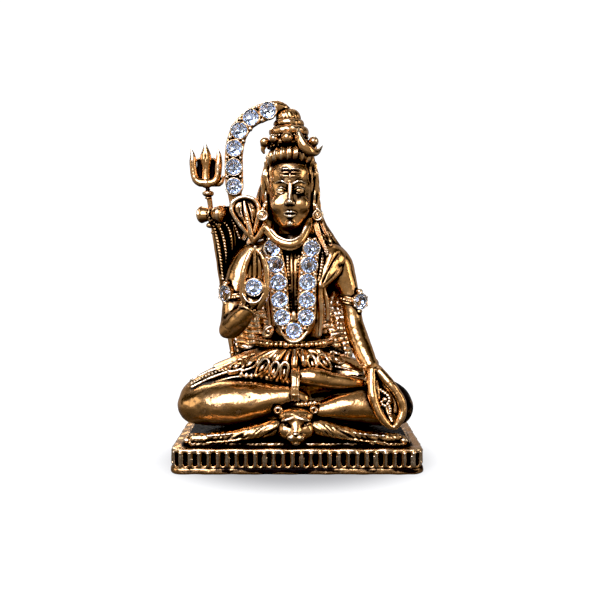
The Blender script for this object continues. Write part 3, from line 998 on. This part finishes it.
def armband(side):
    c, r, tilt, stone = (-12.2, -0.4, 33.2), 2.5, (12, -8, 0), BAND_R
    if side > 0:
        c, r, tilt, stone = (10.55, 1.1, 32.0), 2.05, (6, 12, 0), BAND_L
    f = Field(np.array(c) - (4.6, 4.8, 4.2), np.array(c) + (4.6, 4.8, 4.2), FINE)
    m = turn(*tilt)
    for dz, rr in ((-0.55, 0.24), (0.0, 0.36), (0.55, 0.24)):
        f.ring(c + m[:, 2] * dz, r, rr, rot=tilt, k=0.08)
    for ca, sa in around(20):
        f.ball(c + m @ ((r + 0.22) * ca, (r + 0.22) * sa, 0.0), 0.3, k=0.05)
    cup(f, stone, r=1.72, deep=1.5)
    out = facing(stone[3])[:, 2]
    at = np.array(stone[:3])
    for s in (-1, 1):
        f.ell(at - out * 0.6 + (0, 0, s * 2.0), (0.7, 0.5, 0.75), rot=aim(out), k=0.15)
        f.ball(at - out * 0.2 + (0, 0, s * 1.9), 0.36, k=0.06)
    for ca, sa in around(6, 0.5):
        f.ball(at + facing(stone[3]) @ (1.68 * ca, 1.68 * sa, 0.02), 0.24, k=0.05)
    return f


def bracelet(side):
    c, r, tilt = (-9.35, -5.6, 30.55), 1.55, (-30, 32, 0)
    if side > 0:
        c, r, tilt = (14.05, -4.9, 19.9), 1.45, (38, 18, 0)
    f = Field(np.array(c) - 3.0, np.array(c) + 3.0, FINE * 0.9)
    m = turn(*tilt)
    for dz, rr in ((-0.5, 0.26), (0.5, 0.26)):
        f.ring(c + m[:, 2] * dz, r, rr, rot=tilt, k=0.06)
    for ca, sa in around(14):
        f.ball(c + m @ ((r + 0.1) * ca, (r + 0.1) * sa, 0.0), 0.36, k=0.05)
    return f


def rosary():
    """Short string of beads held in the left hand."""
    f = Field((13.8, -10.4, 10.0), (19.4, -7.0, 17.4), FINE * 0.9)
    f.beads([(15.7, -8.4, 15.6), (16.5, -8.8, 15.1), (17.3, -8.9, 14.3), (17.2, -9.0, 13.2),
        (16.4, -8.9, 12.6), (15.9, -8.8, 13.4)], 0.33, k=0.05)
    f.beads([(17.2, -8.8, 13.0), (17.5, -8.9, 12.0), (17.5, -8.8, 11.1)], 0.3, k=0.05)
    f.ball((16.5, -8.9, 13.9), 0.42, k=0.08)
    return f


STAFF_FOOT = np.array((-11.3, 6.0, 4.8))
STAFF_HEAD = np.array((-17.9, 3.3, 53.4))


def trident_staff():
    f = Field((-19.6, 1.8, 3.2), (-10.2, 7.0, 55.6), FINE * 1.1)
    foot, top = STAFF_FOOT, STAFF_HEAD
    d = (top - foot) / np.linalg.norm(top - foot)
    f.tube([(*(foot - d * 1.4), 0.4), (*(foot + d * 1.0), 0.4)])
    f.tube([(*(foot + d * 0.9), 0.58), (*(top - d * 1.0), 0.52)], k=0.05)
    f.ell(top - (0, 0, 0.25), (1.2, 1.2, 0.72), k=0.08)
    f.ell(top - (0, 0, 1.15), (0.75, 0.75, 0.3), k=0.1)
    f.tube([(*top, 0.5), (*(top + d * 1.3), 0.4)], k=0.15)
    for s in (8.0, 16.0, 30.0, 41.0):
        f.ring(foot + d * s, 0.55, 0.2, rot=aim(d), k=0.06)
    return f


def trident_head():
    f = Field((-22.6, 1.6, 53.2), (-14.0, 5.2, 63.8), FINE * 0.9)
    x, y, z = -18.3, 3.3, 54.8

    def at(dx, dz, r, dy=0.0):
        return x + dx, y + dy, z + dz, r

    for s in (-1, 1):
        arm = [(0, 0.4, 0.8), (1.3, 0.5, 0.78), (2.2, 1.3, 0.72), (2.5, 2.9, 0.7), (2.6, 4.6, 0.72),
            (2.6, 6.0, 0.45), (3.0 if s < 0 else 2.4, 7.2, 0.1)]
        f.tube([at(s * dx, dz, r) for dx, dz, r in arm], k=0.2)
        f.tube([at(s * 2.4, 4.4, 0.5), at(s * 1.8, 5.1, 0.14)], k=0.15)
        f.tube([at(s * 1.2, 0.9, 0.8, 0.7), at(s * 1.3, 3.0, 0.75, 0.8), at(s * 1.35, 5.0, 0.6, 0.8)],
            k=0.2, squash=((0, 1, 0), 0.4))
    f.tube([at(0, 0.2, 0.8), at(0, 2.2, 0.75), at(0, 3.8, 0.8), at(0, 5.4, 1.15), at(0, 6.6, 0.8),
        at(-0.05, 8.3, 0.1)], k=0.2, squash=((0, 1, 0), 0.65))
    f.tube([at(0, 4.3, 0.1, -0.72), at(0, 5.8, 0.2, -0.78), at(0, 7.0, 0.1, -0.65)], k=0.12, op="cut")
    f.ell((x + 0.15, y, z + 0.1), (0.95, 0.85, 0.8), k=0.15)
    # web of metal behind, that ties the prongs to the stream
    f.tube([at(1.2, 0.2, 0.5, 0.5), at(2.8, 0.4, 0.5, 0.4), at(3.6, 1.8, 0.35, 0.1)], k=0.2)
    return f


DRUM, DRUM_AXES = np.array((-17.1, 1.4, 48.9)), turn(0, 0, -28)
DRUM_BOX = (-21.2, -2.2, 46.4), (-13.0, 5.0, 51.4)


def drum_body():
    f = Field(*DRUM_BOX, FINE * 0.9)
    m = DRUM_AXES
    profile = ((-2.3, 1.6), (-1.6, 1.45), (-0.5, 0.72), (0.5, 0.72), (1.6, 1.45), (2.3, 1.6))
    f.tube([(*(DRUM + m @ (s, 0, 0)), r) for s, r in profile], count=24)
    for s in (-2.25, 2.25):
        f.ring(DRUM + m @ (s, 0, 0), 1.5, 0.24, rot=aim(m[:, 0]), k=0.06)
    for c, s in around(10):
        f.tube([(*(DRUM + m @ (a, c * r, s * r)), 0.12) for a, r in ((-2.2, 1.58), (0, 0.85), (2.2, 1.58))],
            k=0.06)
    for s in (-3.6, 3.6):
        f.cut_block(DRUM + m @ (s, 0, 0), (1.0, 2.6, 2.6), m, 0.05)
    return f


def drum_skins():
    f = Field(*DRUM_BOX, FINE * 0.9)
    m = DRUM_AXES
    for s in (-1, 1):
        c = DRUM + m @ (s * 2.55, 0, 0)
        f.ell(c, (0.5, 1.42, 1.42), rot=m)
        f.ell(c + m @ (s * 0.5, 0, 0), (0.25, 0.55, 0.55), rot=m, k=0.1)
        f.ring(c + m @ (s * 0.38, 0, 0), 0.85, 0.1, rot=aim(m[:, 0]), k=0.08)
    return f


def drum_cord():
    """Cords and a cloth streamer that hang from the drum between the staff and the arm."""
    f = Field((-19.6, -1.6, 32.6), (-9.6, 5.4, 51.4), FINE)
    f.ring(DRUM, 0.95, 0.28, rot=aim(DRUM_AXES[:, 0]), k=0.05)
    strands = [
        [(-17.4, 0.9, 48.2), (-16.4, 1.4, 46.0), (-15.8, 1.9, 43.0), (-15.3, 2.1, 39.5),
            (-15.0, 2.3, 36.0)],
        [(-16.8, 0.8, 47.8), (-15.2, 1.2, 45.8), (-14.5, 1.8, 43.0), (-14.2, 2.0, 39.5),
            (-14.2, 2.2, 36.4)],
        [(-15.8, 1.2, 48.4), (-13.8, 1.4, 46.4), (-13.2, 1.9, 44.0), (-13.0, 2.2, 41.4)],
        [(-14.6, 1.6, 50.4), (-13.4, 1.7, 48.4), (-12.4, 1.8, 46.4), (-11.6, 1.9, 44.2)],
    ]
    for i, p in enumerate(strands):
        lock(f, [(*q, 0.62 - 0.05 * i) for q in p], waves=3, flat=0.7, depth=0.08)
        f.beads([(x + 0.1, y - 0.55, z) for x, y, z in p], 0.28, k=0.06, every=0.62)
    for i, p in enumerate(([(-16.6, 2.6, 48.6, 0.9), (-15.9, 2.9, 44.0, 1.3), (-15.4, 3.0, 39.0, 1.2),
            (-15.0, 3.2, 34.0, 0.9)], [(-14.0, 2.6, 50.4, 1.2), (-13.2, 2.8, 47.0, 1.7),
            (-12.8, 3.0, 43.0, 1.7), (-13.4, 3.2, 38.5, 1.2)])):
        lock(f, p, waves=4 + i, flat=0.55, depth=0.16)
    # curls of hair behind, that close the gap between the staff, the hood and the arm
    f.ell((-12.3, 3.2, 46.2), (2.5, 0.8, 3.9), rot=(0, -12, 0), k=0.3)
    f.ell((-14.9, 3.2, 45.4), (1.6, 0.7, 3.6), rot=(0, -8, 0), k=0.3)
    f.ell((-13.6, 3.3, 41.6), (2.2, 0.7, 4.6), rot=(0, 8, 0), k=0.3)
    for x0, z0, x1, z1 in ((-14.4, 48.6, -12.6, 44.4), (-12.9, 49.2, -11.2, 45.0),
            (-11.6, 46.6, -10.6, 43.6), (-13.2, 44.4, -13.0, 39.6), (-11.6, 43.6, -12.2, 40.6),
            (-15.6, 48.0, -14.6, 44.0)):
        f.tube([(x0, 2.7, z0, 0.2), ((x0 + x1) / 2 - 0.5, 2.3, (z0 + z1) / 2, 0.42), (x1, 2.7, z1, 0.2)],
            k=0.12)
    f.ell((-17.3, 1.2, 46.7), (0.8, 0.7, 0.6), k=0.15)
    f.ball((-15.4, 0.6, 46.9), 0.5, k=0.1)
    return f


# ------------------------------------------------------------------ from fields to meshes
def surface(f):
    """A field's points in mm and its four-sided faces, made slightly uneven like a hand casting."""
    _, (x, y, z) = f.everywhere()
    lumps = np.sin(0.9 * x + 0.5 * z) * np.sin(1.3 * z - 0.7 * y)
    lumps = lumps + 0.5 * np.sin(1.9 * x - 1.1 * z) * np.sin(1.6 * y + 2.1 * z)
    f.d += 0.035 * lumps
    for axis in range(3):
        edge = [slice(None)] * 3
        for end in (0, -1):
            edge[axis] = end
            f.d[tuple(edge)] = np.maximum(f.d[tuple(edge)], f.h)
    grid = openvdb.FloatGrid(3 * f.h)
    grid.copyFromArray(np.clip(f.d, -3 * f.h, 3 * f.h).astype(np.float32), tolerance=1e-6)
    points, _, quads = grid.convertToPolygons(isovalue=0.0, adaptivity=0.0)
    points, quads = drop_islands(points * f.h + f.lo, quads.astype(np.int64))
    a, b, c = points[quads[:, 0]], points[quads[:, 1]], points[quads[:, 2]]
    inside_out = np.einsum("ij,ij->i", a, np.cross(b, c)).sum() < 0
    return points, quads[:, ::-1].copy() if inside_out else quads


def drop_islands(points, quads, smallest=60):
    """Removes loose crumbs: components with few vertices."""
    label = np.arange(len(points))
    a = quads.ravel()
    b = np.roll(quads, -1, 1).ravel()
    while True:
        low = np.minimum(label[a], label[b])
        new = label.copy()
        np.minimum.at(new, a, low)
        np.minimum.at(new, b, low)
        new = new[new]
        new = new[new]
        if np.array_equal(new, label):
            break
        label = new
    count = np.bincount(label, minlength=len(points))
    keep = count[label] >= smallest
    index = np.cumsum(keep) - 1
    quads = quads[keep[quads[:, 0]]]
    return points[keep], index[quads]


def place(name, data):
    """A new object in the scene that shows this mesh, lamp or camera."""
    obj = bpy.data.objects.new(name, data)
    bpy.context.scene.collection.objects.link(obj)
    return obj


def make_mesh(name, points, quads):
    me = bpy.data.meshes.new(name)
    me.vertices.add(len(points))
    me.vertices.foreach_set("co", (points * MM).astype(np.float32).ravel())
    me.loops.add(quads.size)
    me.loops.foreach_set("vertex_index", quads.astype(np.int32).ravel())
    me.polygons.add(len(quads))
    me.polygons.foreach_set("loop_start", np.arange(0, quads.size, quads.shape[1], dtype=np.int32))
    me.update(calc_edges=True)
    me.polygons.foreach_set("use_smooth", np.ones(len(quads), bool))
    return place(name, me)


class Crowding:
    """How much metal surrounds each point: a blurred map of the whole object."""

    def __init__(self, fields, step):
        self.map = Field((-26, -12.8, -1.2), (26, 12.4, 73), step)
        occ = np.zeros(self.map.n, np.float32)
        for f in fields:
            sl, axes = self.map.window(f.lo, f.lo + f.h * (f.n - 1))
            idx = [np.round((a.ravel() - f.lo[i]) / f.h).astype(int) for i, a in enumerate(axes)]
            near = f.d[np.ix_(*(np.clip(q, 0, f.n[i] - 1) for i, q in enumerate(idx)))]
            occ[sl] = np.maximum(occ[sl], np.clip(0.5 - near / step, 0, 1))
        self.fine, self.wide = blur(occ, 2, 2), blur(occ, 7, 2)

    def at(self, grid, points):
        """The grid's values at points, straight between its cells."""
        q = (points - self.map.lo) / self.map.h
        i = np.clip(np.floor(q).astype(int), 0, np.array(grid.shape) - 2)
        t = np.clip(q - i, 0, 1)
        total = np.zeros(len(points), np.float32)
        for corner in np.ndindex(2, 2, 2):
            weight = np.abs(1 - np.array(corner) - t).prod(1)
            total += (weight * grid[tuple((i + corner).T)]).astype(np.float32)
        return total

    def paint(self, obj, stain):
        """Writes the attributes that the metal reads: cavity close to the surface, shade further out."""
        me = obj.data
        co, no = np.zeros((2, len(me.vertices) * 3), np.float32)
        me.vertices.foreach_get("co", co)
        me.vertex_normals.foreach_get("vector", no)
        co, no = co.reshape(-1, 3) / MM, no.reshape(-1, 3)
        for name, grid, lift in (("cavity", self.fine, 0.04), ("shade", self.wide, 0.25)):
            values = self.at(grid, co + no * lift)
            if stain is not None:
                values = stain(name, co, values)
            me.attributes.new(name, "FLOAT", "POINT").data.foreach_set("value", values.astype(np.float32))


def plinth_stain(name, p, values):
    """The flutes are filled with black patina; the ribs between them are rubbed bright."""
    past_x, past_y = np.abs(p[:, 0]) - PLINTH_X + PLINTH_CORNER, np.abs(p[:, 1]) - PLINTH_Y + PLINTH_CORNER
    depth = -rounded(past_x, past_y, PLINTH_CORNER - PLINTH_WALL)
    band = (p[:, 2] > 1.4) & (p[:, 2] < 4.25)
    flute = band & (depth > 0.1)
    if name == "shade":
        return np.where(band & ~flute, values - 0.1, values)
    foot = 0.09 + 0.05 * np.sin(0.21 * p[:, 0] + 2.2) + 0.03 * np.sin(0.9 * p[:, 0] + 3.0 * p[:, 2])
    rib = band & (depth < 0.02)
    return values + np.where(flute, 0.4, 0.0) - np.where(rib, 0.08, 0.0) + np.where(p[:, 2] < 1.3, foot,
        0.0)


def rug_stain(name, p, values):
    """The flat of the rug is black between the raised legs, with a thin rubbed rim."""
    inner = (p[:, 2] < 6.1) & (np.abs(p[:, 0]) < 21.3) & (p[:, 1] > -9.2)
    return values + np.where(inner & (name == "cavity"), 0.2, 0.0)


def drape_stain(name, p, values):
    """The pleated cloth beside the waist is rubbed bright, the hair above it is dark."""
    middle = np.interp(p[:, 2], (12.4, 18.0, 26.0, 34.0, 60.0), (8.0, 7.2, 6.2, 5.8, 4.6))
    front_side = fade(middle - p[:, 1], 0.0, 0.5)
    cloth = fade(33.5 - p[:, 2], 0.0, 2.0) * front_side
    rubbed = (0.22 if name == "cavity" else 0.12) * cloth
    return values - rubbed + 0.06 * (1 - cloth) * front_side + 0.02 * (1 - front_side)


def knee_stain(name, p, values):
    """The outer side of the left knee, behind the hand, is black."""
    return values + 0.13 * fade(p[:, 0], 17.0, 21.0)


def lock_stain(name, p, values):
    """Combed hair holds the patina."""
    return values + 0.07


def trident_stain(name, p, values):
    """The web between the prongs lies in shadow."""
    web = np.abs(np.abs(p[:, 0] + 18.3) - 1.4) < 0.75
    return values + np.where(web & (p[:, 1] > 3.6) & (p[:, 1] < 4.15) & (p[:, 2] > 56.0), 0.2, 0.0)


STAINS = {"plinth": plinth_stain, "tiger_rug": rug_stain, "back_hair": drape_stain,
    "trident_head": trident_stain, "shoulder_locks": lock_stain, "drum_cord": lock_stain,
    "lower_body": knee_stain}


# ------------------------------------------------------------------ materials
class Nodes:
    """Builds the node tree of a material or a world."""

    def __init__(self, block):
        block.use_nodes = True
        self.block, self.tree = block, block.node_tree
        self.tree.nodes.clear()

    def set(self, socket, value):
        if isinstance(value, bpy.types.NodeSocket):
            self.tree.links.new(value, socket)
        else:
            socket.default_value = value

    def add(self, kind, inputs=None, **settings):
        n = self.tree.nodes.new("ShaderNode" + kind)
        for key, value in settings.items():
            setattr(n, key, value)
        for key, value in (inputs or {}).items():
            self.set(n.inputs[key], value)
        return n

    def finish(self, shader, output="OutputMaterial"):
        self.add(output, {0: shader.outputs[0]})
        return self.block

    def where(self):
        return self.add("TexCoord").outputs["Object"]

    def math(self, op, a, b=0.0, clamp=False):
        return self.add("Math", {0: a, 1: b}, operation=op, use_clamp=clamp).outputs[0]

    def vector(self, op, a, b, output=0):
        return self.add("VectorMath", {0: a, 1: b}, operation=op).outputs[output]

    def span(self, value, lo, hi, to_lo=0.0, to_hi=1.0):
        ends = {0: value, 1: lo, 2: hi, 3: to_lo, 4: to_hi}
        return self.add("MapRange", ends, interpolation_type="SMOOTHSTEP").outputs[0]

    def mix(self, t, a, b):
        return self.add("Mix", {0: t, 6: a, 7: b}, data_type="RGBA", clamp_factor=True).outputs[2]

    def noise(self, vector, scale, detail=3.0, rough=0.55, warp=0.0):
        inputs = {"Vector": vector, "Scale": scale, "Detail": detail, "Roughness": rough,
            "Distortion": warp}
        return self.add("TexNoise", inputs).outputs[0]

    def bump(self, height, distance, strength, under=None):
        n = self.add("Bump", {"Height": height, "Distance": distance, "Strength": strength})
        if under is not None:
            self.set(n.inputs["Normal"], under)
        return n.outputs[0]


def antique_gold(name, age=0.0, grain=1.0, warmth=0.0, shine=1.0):
    """Gold rubbed bright on the high places, over black patina in the recesses. Age spreads the patina."""
    n = Nodes(bpy.data.materials.new(name))
    where = n.where()
    cavity, shade = (n.add("Attribute", attribute_name=a).outputs["Fac"] for a in ("cavity", "shade"))
    facing_up = n.add("SeparateXYZ", {0: n.add("NewGeometry").outputs["Normal"]}).outputs[2]
    blotch = n.noise(where, 420.0, 4.0, 0.6, 0.4)
    speck = n.noise(where, 2600.0, 3.0, 0.6)
    grit = n.noise(where, 7000.0, 2.0, 0.5)
    broad = n.noise(where, 140.0, 2.0, 0.5)
    uneven = [n.math("MULTIPLY", n.math("SUBTRACT", a, 0.5), b) for a, b in ((blotch, 0.16), (speck, 0.09))]
    uneven = n.math("ADD", *uneven)
    recess = n.span(n.math("ADD", cavity, uneven), 0.456 - age, 0.53 - age)
    gloom = n.span(n.math("ADD", shade, uneven), 0.405 - age, 0.52 - age)
    pits = n.span(n.noise(where, 1900.0, 2.0, 0.6, 0.8), 0.67 - 2 * age, 0.75 - 2 * age, 0.0, 0.8)
    under = n.span(n.math("ADD", facing_up, n.math("MULTIPLY", uneven, 3.0)), -0.2, -0.7, 0.0, 0.94)
    dark = n.math("MAXIMUM", n.math("MAXIMUM", pits, under), n.math("MAXIMUM", recess, gloom), clamp=True)
    edge = n.span(n.math("ADD", cavity, n.math("MULTIPLY", uneven, 0.4)), 0.37, 0.22)
    gold = n.mix(blotch, (0.59 + warmth, 0.275, 0.088, 1), (0.89, 0.485, 0.19, 1))
    gold = n.mix(n.span(broad, 0.35, 0.7), gold, (0.72, 0.36, 0.125, 1))
    gold = n.mix(n.math("MULTIPLY", edge, 0.7), gold, (0.98, 0.79, 0.52, 1))
    tarnish = n.mix(speck, (0.0004, 0.0004, 0.0004, 1), (0.008, 0.004, 0.002, 1))
    rough = n.math("ADD", n.math("MULTIPLY", speck, 0.14), n.math("MULTIPLY", blotch, 0.12))
    rough = n.math("ADD", n.math("ADD", rough, 0.06 / shine), n.math("MULTIPLY", dark, 0.2), clamp=True)
    wavy = n.bump(n.noise(where, 650.0, 2.0, 0.5, 0.3), 0.00012, 0.7 * grain)
    cast = n.bump(speck, 0.00003, 0.5 * grain, wavy)
    return n.finish(n.add("BsdfPrincipled", {
        "Base Color": n.mix(dark, gold, tarnish),
        "Metallic": n.span(dark, 0.55, 1.0, 1.0, 0.1),
        "Roughness": rough,
        "Normal": n.bump(grit, 0.00001, 0.35 * grain, cast),
        "Specular IOR Level": n.math("SUBTRACT", 0.42, n.math("MULTIPLY", dark, 0.4))}))


def crystal_glass():
    n = Nodes(bpy.data.materials.new("crystal_glass"))
    smear = n.noise(n.where(), 900.0, 3.0, 0.6, 0.5)
    return n.finish(n.add("BsdfPrincipled", {
        "Base Color": n.mix(smear, (0.95, 0.97, 1.0, 1), (0.90, 0.94, 1.0, 1)),
        "Roughness": n.span(smear, 0.45, 0.75, 0.0, 0.04), "IOR": 1.56, "Transmission Weight": 1.0,
        "Normal": n.bump(smear, 0.00001, 0.15)}))


def crystal_foil():
    """The silvered back that makes a glued crystal bright."""
    n = Nodes(bpy.data.materials.new("crystal_foil"))
    patch = n.noise(n.where(), 1500.0, 3.0, 0.6, 0.6)
    return n.finish(n.add("BsdfPrincipled", {
        "Base Color": n.mix(patch, (0.68, 0.75, 0.88, 1), (0.90, 0.93, 0.98, 1)), "Metallic": 1.0,
        "Roughness": n.span(patch, 0.3, 0.8, 0.03, 0.16), "Normal": n.bump(patch, 0.00002, 0.25)}))


# ------------------------------------------------------------------ stones
def stone_mesh(places, name, mats):
    """Faceted round crystals: clear crown over a foil-backed point."""
    rows = ((0.84, 0.55, 8, 0), (1.20, 0.31, 8, 0.5), (STONE, 0.0, 16, 0), (STONE, -0.12, 16, 0),
        (0.78, -0.66, 8, 0.5))
    local = [(r * c, r * s, height) for r, height, count, start in rows for c, s in around(count, start)]
    local.append((0, 0, -1.05))
    verts, faces, slots = [], [], []
    for x, y, z, yaw in places:
        axes = facing(yaw) @ turn(rng.normal(0, 1.5), rng.normal(0, 1.5), rng.uniform(0, 45))
        table = len(verts)
        upper, girdle, under, lower, tip = (table + j for j in (8, 16, 32, 48, 56))
        verts += [np.array((x, y, z)) + axes @ np.array(p) for p in local]
        crown = [[table + k for k in range(8)]]
        back = [[girdle + k, under + k, under + (k + 1) % 16, girdle + (k + 1) % 16] for k in range(16)]
        for k in range(8):
            j, u, w = (k + 1) % 8, upper + k, lower + k
            a, b, c = girdle + 2 * k, girdle + 2 * k + 1, girdle + (2 * k + 2) % 16
            crown += [[table + k, u, table + j], [table + k, a, u], [table + j, u, c], [u, a, b], [u, b, c]]
            a, b, c = under + 2 * k, under + 2 * k + 1, under + (2 * k + 2) % 16
            back += [[a, w, b], [b, w, c], [c, w, lower + j], [w, tip, lower + j]]
        faces += crown + back
        slots += [0] * len(crown) + [1] * len(back)
    me = bpy.data.meshes.new(name)
    me.from_pydata([tuple(v * MM) for v in verts], [], faces)
    for m in mats:
        me.materials.append(m)
    me.polygons.foreach_set("material_index", slots)
    me.update()
    return place(name, me)


# ------------------------------------------------------------------ build everything
def named(*makers):
    return [(make.__name__, make) for make in makers]


def sculpt_all():
    """Every metal piece's field by its node. The chest and the arms come from one blended form."""
    with ThreadPoolExecutor(4) as pool:
        trunk, arm_r, arm_l = split_bodies()
        trunk = trunk.crop((-13.0, -6.8, 21.8), (12.0, 8.4, 46.0))
        arm_r = arm_r.crop((-17.6, -10.0, 22.8), (-3.0, 6.0, 46.2))
        arm_l = arm_l.crop((4.0, -11.2, 6.4), (21.2, 6.6, 45.6))
        work = named(lower_body, plinth, tiger_rug, tiger_head)
        work += [("torso", torso, trunk), ("right_arm", right_arm, arm_r), ("left_arm", left_arm, arm_l)]
        work += named(head, topknot, topknot_beads, crescent_moon, shoulder_locks, back_hair, sash,
            waist_belt)
        work += named(cobra, river_stream, rosary, trident_staff, trident_head, drum_body, drum_skins,
            drum_cord, skirt)
        for make in (earring, armband, bracelet):
            work += [(f"{side}_{make.__name__}", make, sign) for side, sign in (("right", -1), ("left", 1))]
        jobs = {node: pool.submit(make, *given) for node, make, *given in work}
        body = jobs["torso"].result()
        jobs.update({node: pool.submit(make, body) for node, make in named(bead_necklaces, garland)})
        return {node: job.result() for node, job in jobs.items()}


def belongs(obj, node):
    """Puts a finished piece in the place of its CAD node, on the one rigid body."""
    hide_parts(node)
    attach(obj, "root")


fields = sculpt_all()
crowding = Crowding(fields.values(), 0.18)
gold = antique_gold("antique_gold")
worn = antique_gold("antique_gold_worn", age=0.01, grain=1.4, shine=0.8)
dark = antique_gold("antique_gold_dark", age=0.05, grain=1.3, warmth=-0.05, shine=0.9)
rubbed = antique_gold("antique_gold_rubbed", age=-0.025, grain=1.4, shine=0.9)
looks = {"plinth": worn, "shoulder_locks": worn, "tiger_rug": dark, "drum_cord": dark, "skirt": rubbed,
    "back_hair": rubbed}
for node, f in fields.items():
    obj = make_mesh(node + "_sculpt", *surface(f))
    crowding.paint(obj, STAINS.get(node))
    obj.data.materials.append(looks.get(node, gold))
    belongs(obj, node)
    f.d = None

stones = {
    "stream_stones": STREAM, "garland_stones": GARLAND, "palm_stone": [PALM],
    "right_armband_stone": [BAND_R], "left_armband_stone": [BAND_L],
}
cut_and_foil = crystal_glass(), crystal_foil()
for node, places in stones.items():
    belongs(stone_mesh(places, node + "_cut", cut_and_foil), node)


# ------------------------------------------------------------------ stage, light and camera
POOL_OF_SHADE = (1 / 0.0325, 1 / 0.0245, 1 / 0.02)      # one over its half sizes, m
PHOTOGRAPHER = (0.00056, -0.136, 0.0431)                # where the camera stands, m
PITCH, LENS = 4.7, 41.16                                # degrees down, mm
KEY = (-0.27, -0.81, 0.52)                              # where the bright patch of the room lies
PATCHES = (                                             # dim patches: towards, edge, middle, level
    ((-0.30, -0.65, 0.70), 0.50, 0.92, 0.22), ((0.1, -0.98, 0.12), 0.88, 0.99, 0.22),
    ((0.45, -0.85, 0.28), 0.86, 0.97, 0.28), ((0.92, -0.30, 0.25), 0.94, 0.985, 1.4),
    ((-0.95, -0.25, 0.20), 0.95, 0.985, 1.5), ((0.20, 0.30, 0.93), 0.92, 0.98, 0.8),
)


def floor_material():
    """Pale matt floor with a soft pool of shade under the object. Metal sees it dimmed."""
    n = Nodes(bpy.data.materials.new("studio_floor"))
    path = n.add("LightPath").outputs
    here = n.add("NewGeometry").outputs["Position"]
    away = n.vector("LENGTH", n.vector("MULTIPLY", here, POOL_OF_SHADE), (0, 0, 0), "Value")
    tint = n.noise(here, 60.0, 2.0, 0.5)
    level = n.math("ADD", n.span(away, 0.50, 1.03, 0.36, 1.02), n.math("MULTIPLY", tint, 0.015))
    mirrored = n.math("MULTIPLY", path["Is Glossy Ray"], n.span(away, 1.3, 3.4, 0.03, 0.26))
    seen = n.math("ADD", path["Is Camera Ray"], mirrored)
    matt = n.add("BsdfDiffuse", {"Color": (0.06, 0.055, 0.05, 1), "Roughness": 0.9})
    glow = n.add("Emission", {"Color": (1, 1, 1, 1), "Strength": n.math("MULTIPLY", seen, level)})
    return n.finish(n.add("AddShader", {0: matt.outputs[0], 1: glow.outputs[0]}))


def sweep_floor():
    """Seamless floor that curves up into a backdrop."""
    start, bend, half_width = 0.35, 0.25, 1.4
    angles = np.linspace(0.15, math.pi / 2, 10)
    rows = [(-1.2, 0.0), (start, 0.0)]
    rows += [(start + bend * math.sin(a), bend - bend * math.cos(a)) for a in angles] + [(start + bend,
        1.6)]
    verts = [(x, y, z) for y, z in rows for x in (-half_width, half_width)]
    faces = [(2 * i, 2 * i + 1, 2 * i + 3, 2 * i + 2) for i in range(len(rows) - 1)]
    me = bpy.data.meshes.new("studio_sweep")
    me.from_pydata(verts, [], faces)
    me.polygons.foreach_set("use_smooth", [True] * len(faces))
    me.materials.append(floor_material())
    place("studio_sweep", me)


def light(name, at, size, power, color=(1, 1, 1), mirrored=True):
    """Rectangular lamp aimed at the middle of the object. The metal reflects it only if it is mirrored."""
    data = bpy.data.lights.new(name, "AREA")
    data.shape = "RECTANGLE"
    data.size, data.size_y = size
    data.energy = power
    data.color = color
    obj = place(name, data)
    obj.location = at
    obj.rotation_euler = (Vector((0.0, 0.0, 0.035)) - Vector(at)).to_track_quat("-Z", "Y").to_euler()
    obj.visible_glossy = mirrored


def studio_world():
    """Dim surround with one broad bright patch above and in front, seen only in reflections."""
    n = Nodes(bpy.data.worlds.new("studio"))
    where = n.add("TexCoord").outputs["Generated"]
    bright = n.span(n.vector("DOT_PRODUCT", where, KEY, "Value"), 0.895, 0.955, 0.0, 9.0)
    key = n.add("VectorMath", {0: (0.85, 1.0, 1.45), "Scale": bright}, operation="SCALE").outputs[0]
    total = 0.015
    for direction, lo, hi, level in PATCHES:
        toward = n.vector("DOT_PRODUCT", where, direction, "Value")
        total = n.math("ADD", n.span(toward, lo, hi, 0.0, level), total)
    white = (1.5, 1.5, 1.5, 1)
    seen = n.mix(n.add("LightPath").outputs["Is Camera Ray"], n.vector("ADD", key, total), white)
    bpy.context.scene.world = n.finish(n.add("Background", {"Color": seen}), "OutputWorld")


def camera():
    lens = bpy.data.cameras.new("camera")
    lens.lens = LENS
    lens.clip_start = 0.005
    obj = place("camera", lens)
    obj.location = PHOTOGRAPHER
    obj.rotation_euler = (math.radians(90 - PITCH), 0, 0)
    bpy.context.scene.camera = obj
    view = bpy.context.scene.view_settings
    view.view_transform, view.look, view.use_curve_mapping = "Standard", "None", True
    view.curve_mapping.black_level = (0.006, 0.006, 0.006)
    view.curve_mapping.update()


sweep_floor()
light("key_left", (-0.20, -0.30, 0.30), (0.12, 0.16), 0.7, (1.0, 0.98, 0.95), mirrored=False)
light("strip_right", (0.34, -0.20, 0.12), (0.04, 0.24), 0.2, (0.95, 0.97, 1.0))
light("top", (0.02, 0.03, 0.42), (0.26, 0.16), 1.0, mirrored=False)
light("back_rim", (-0.1, 0.3, 0.24), (0.3, 0.12), 0.6)
studio_world()
camera()
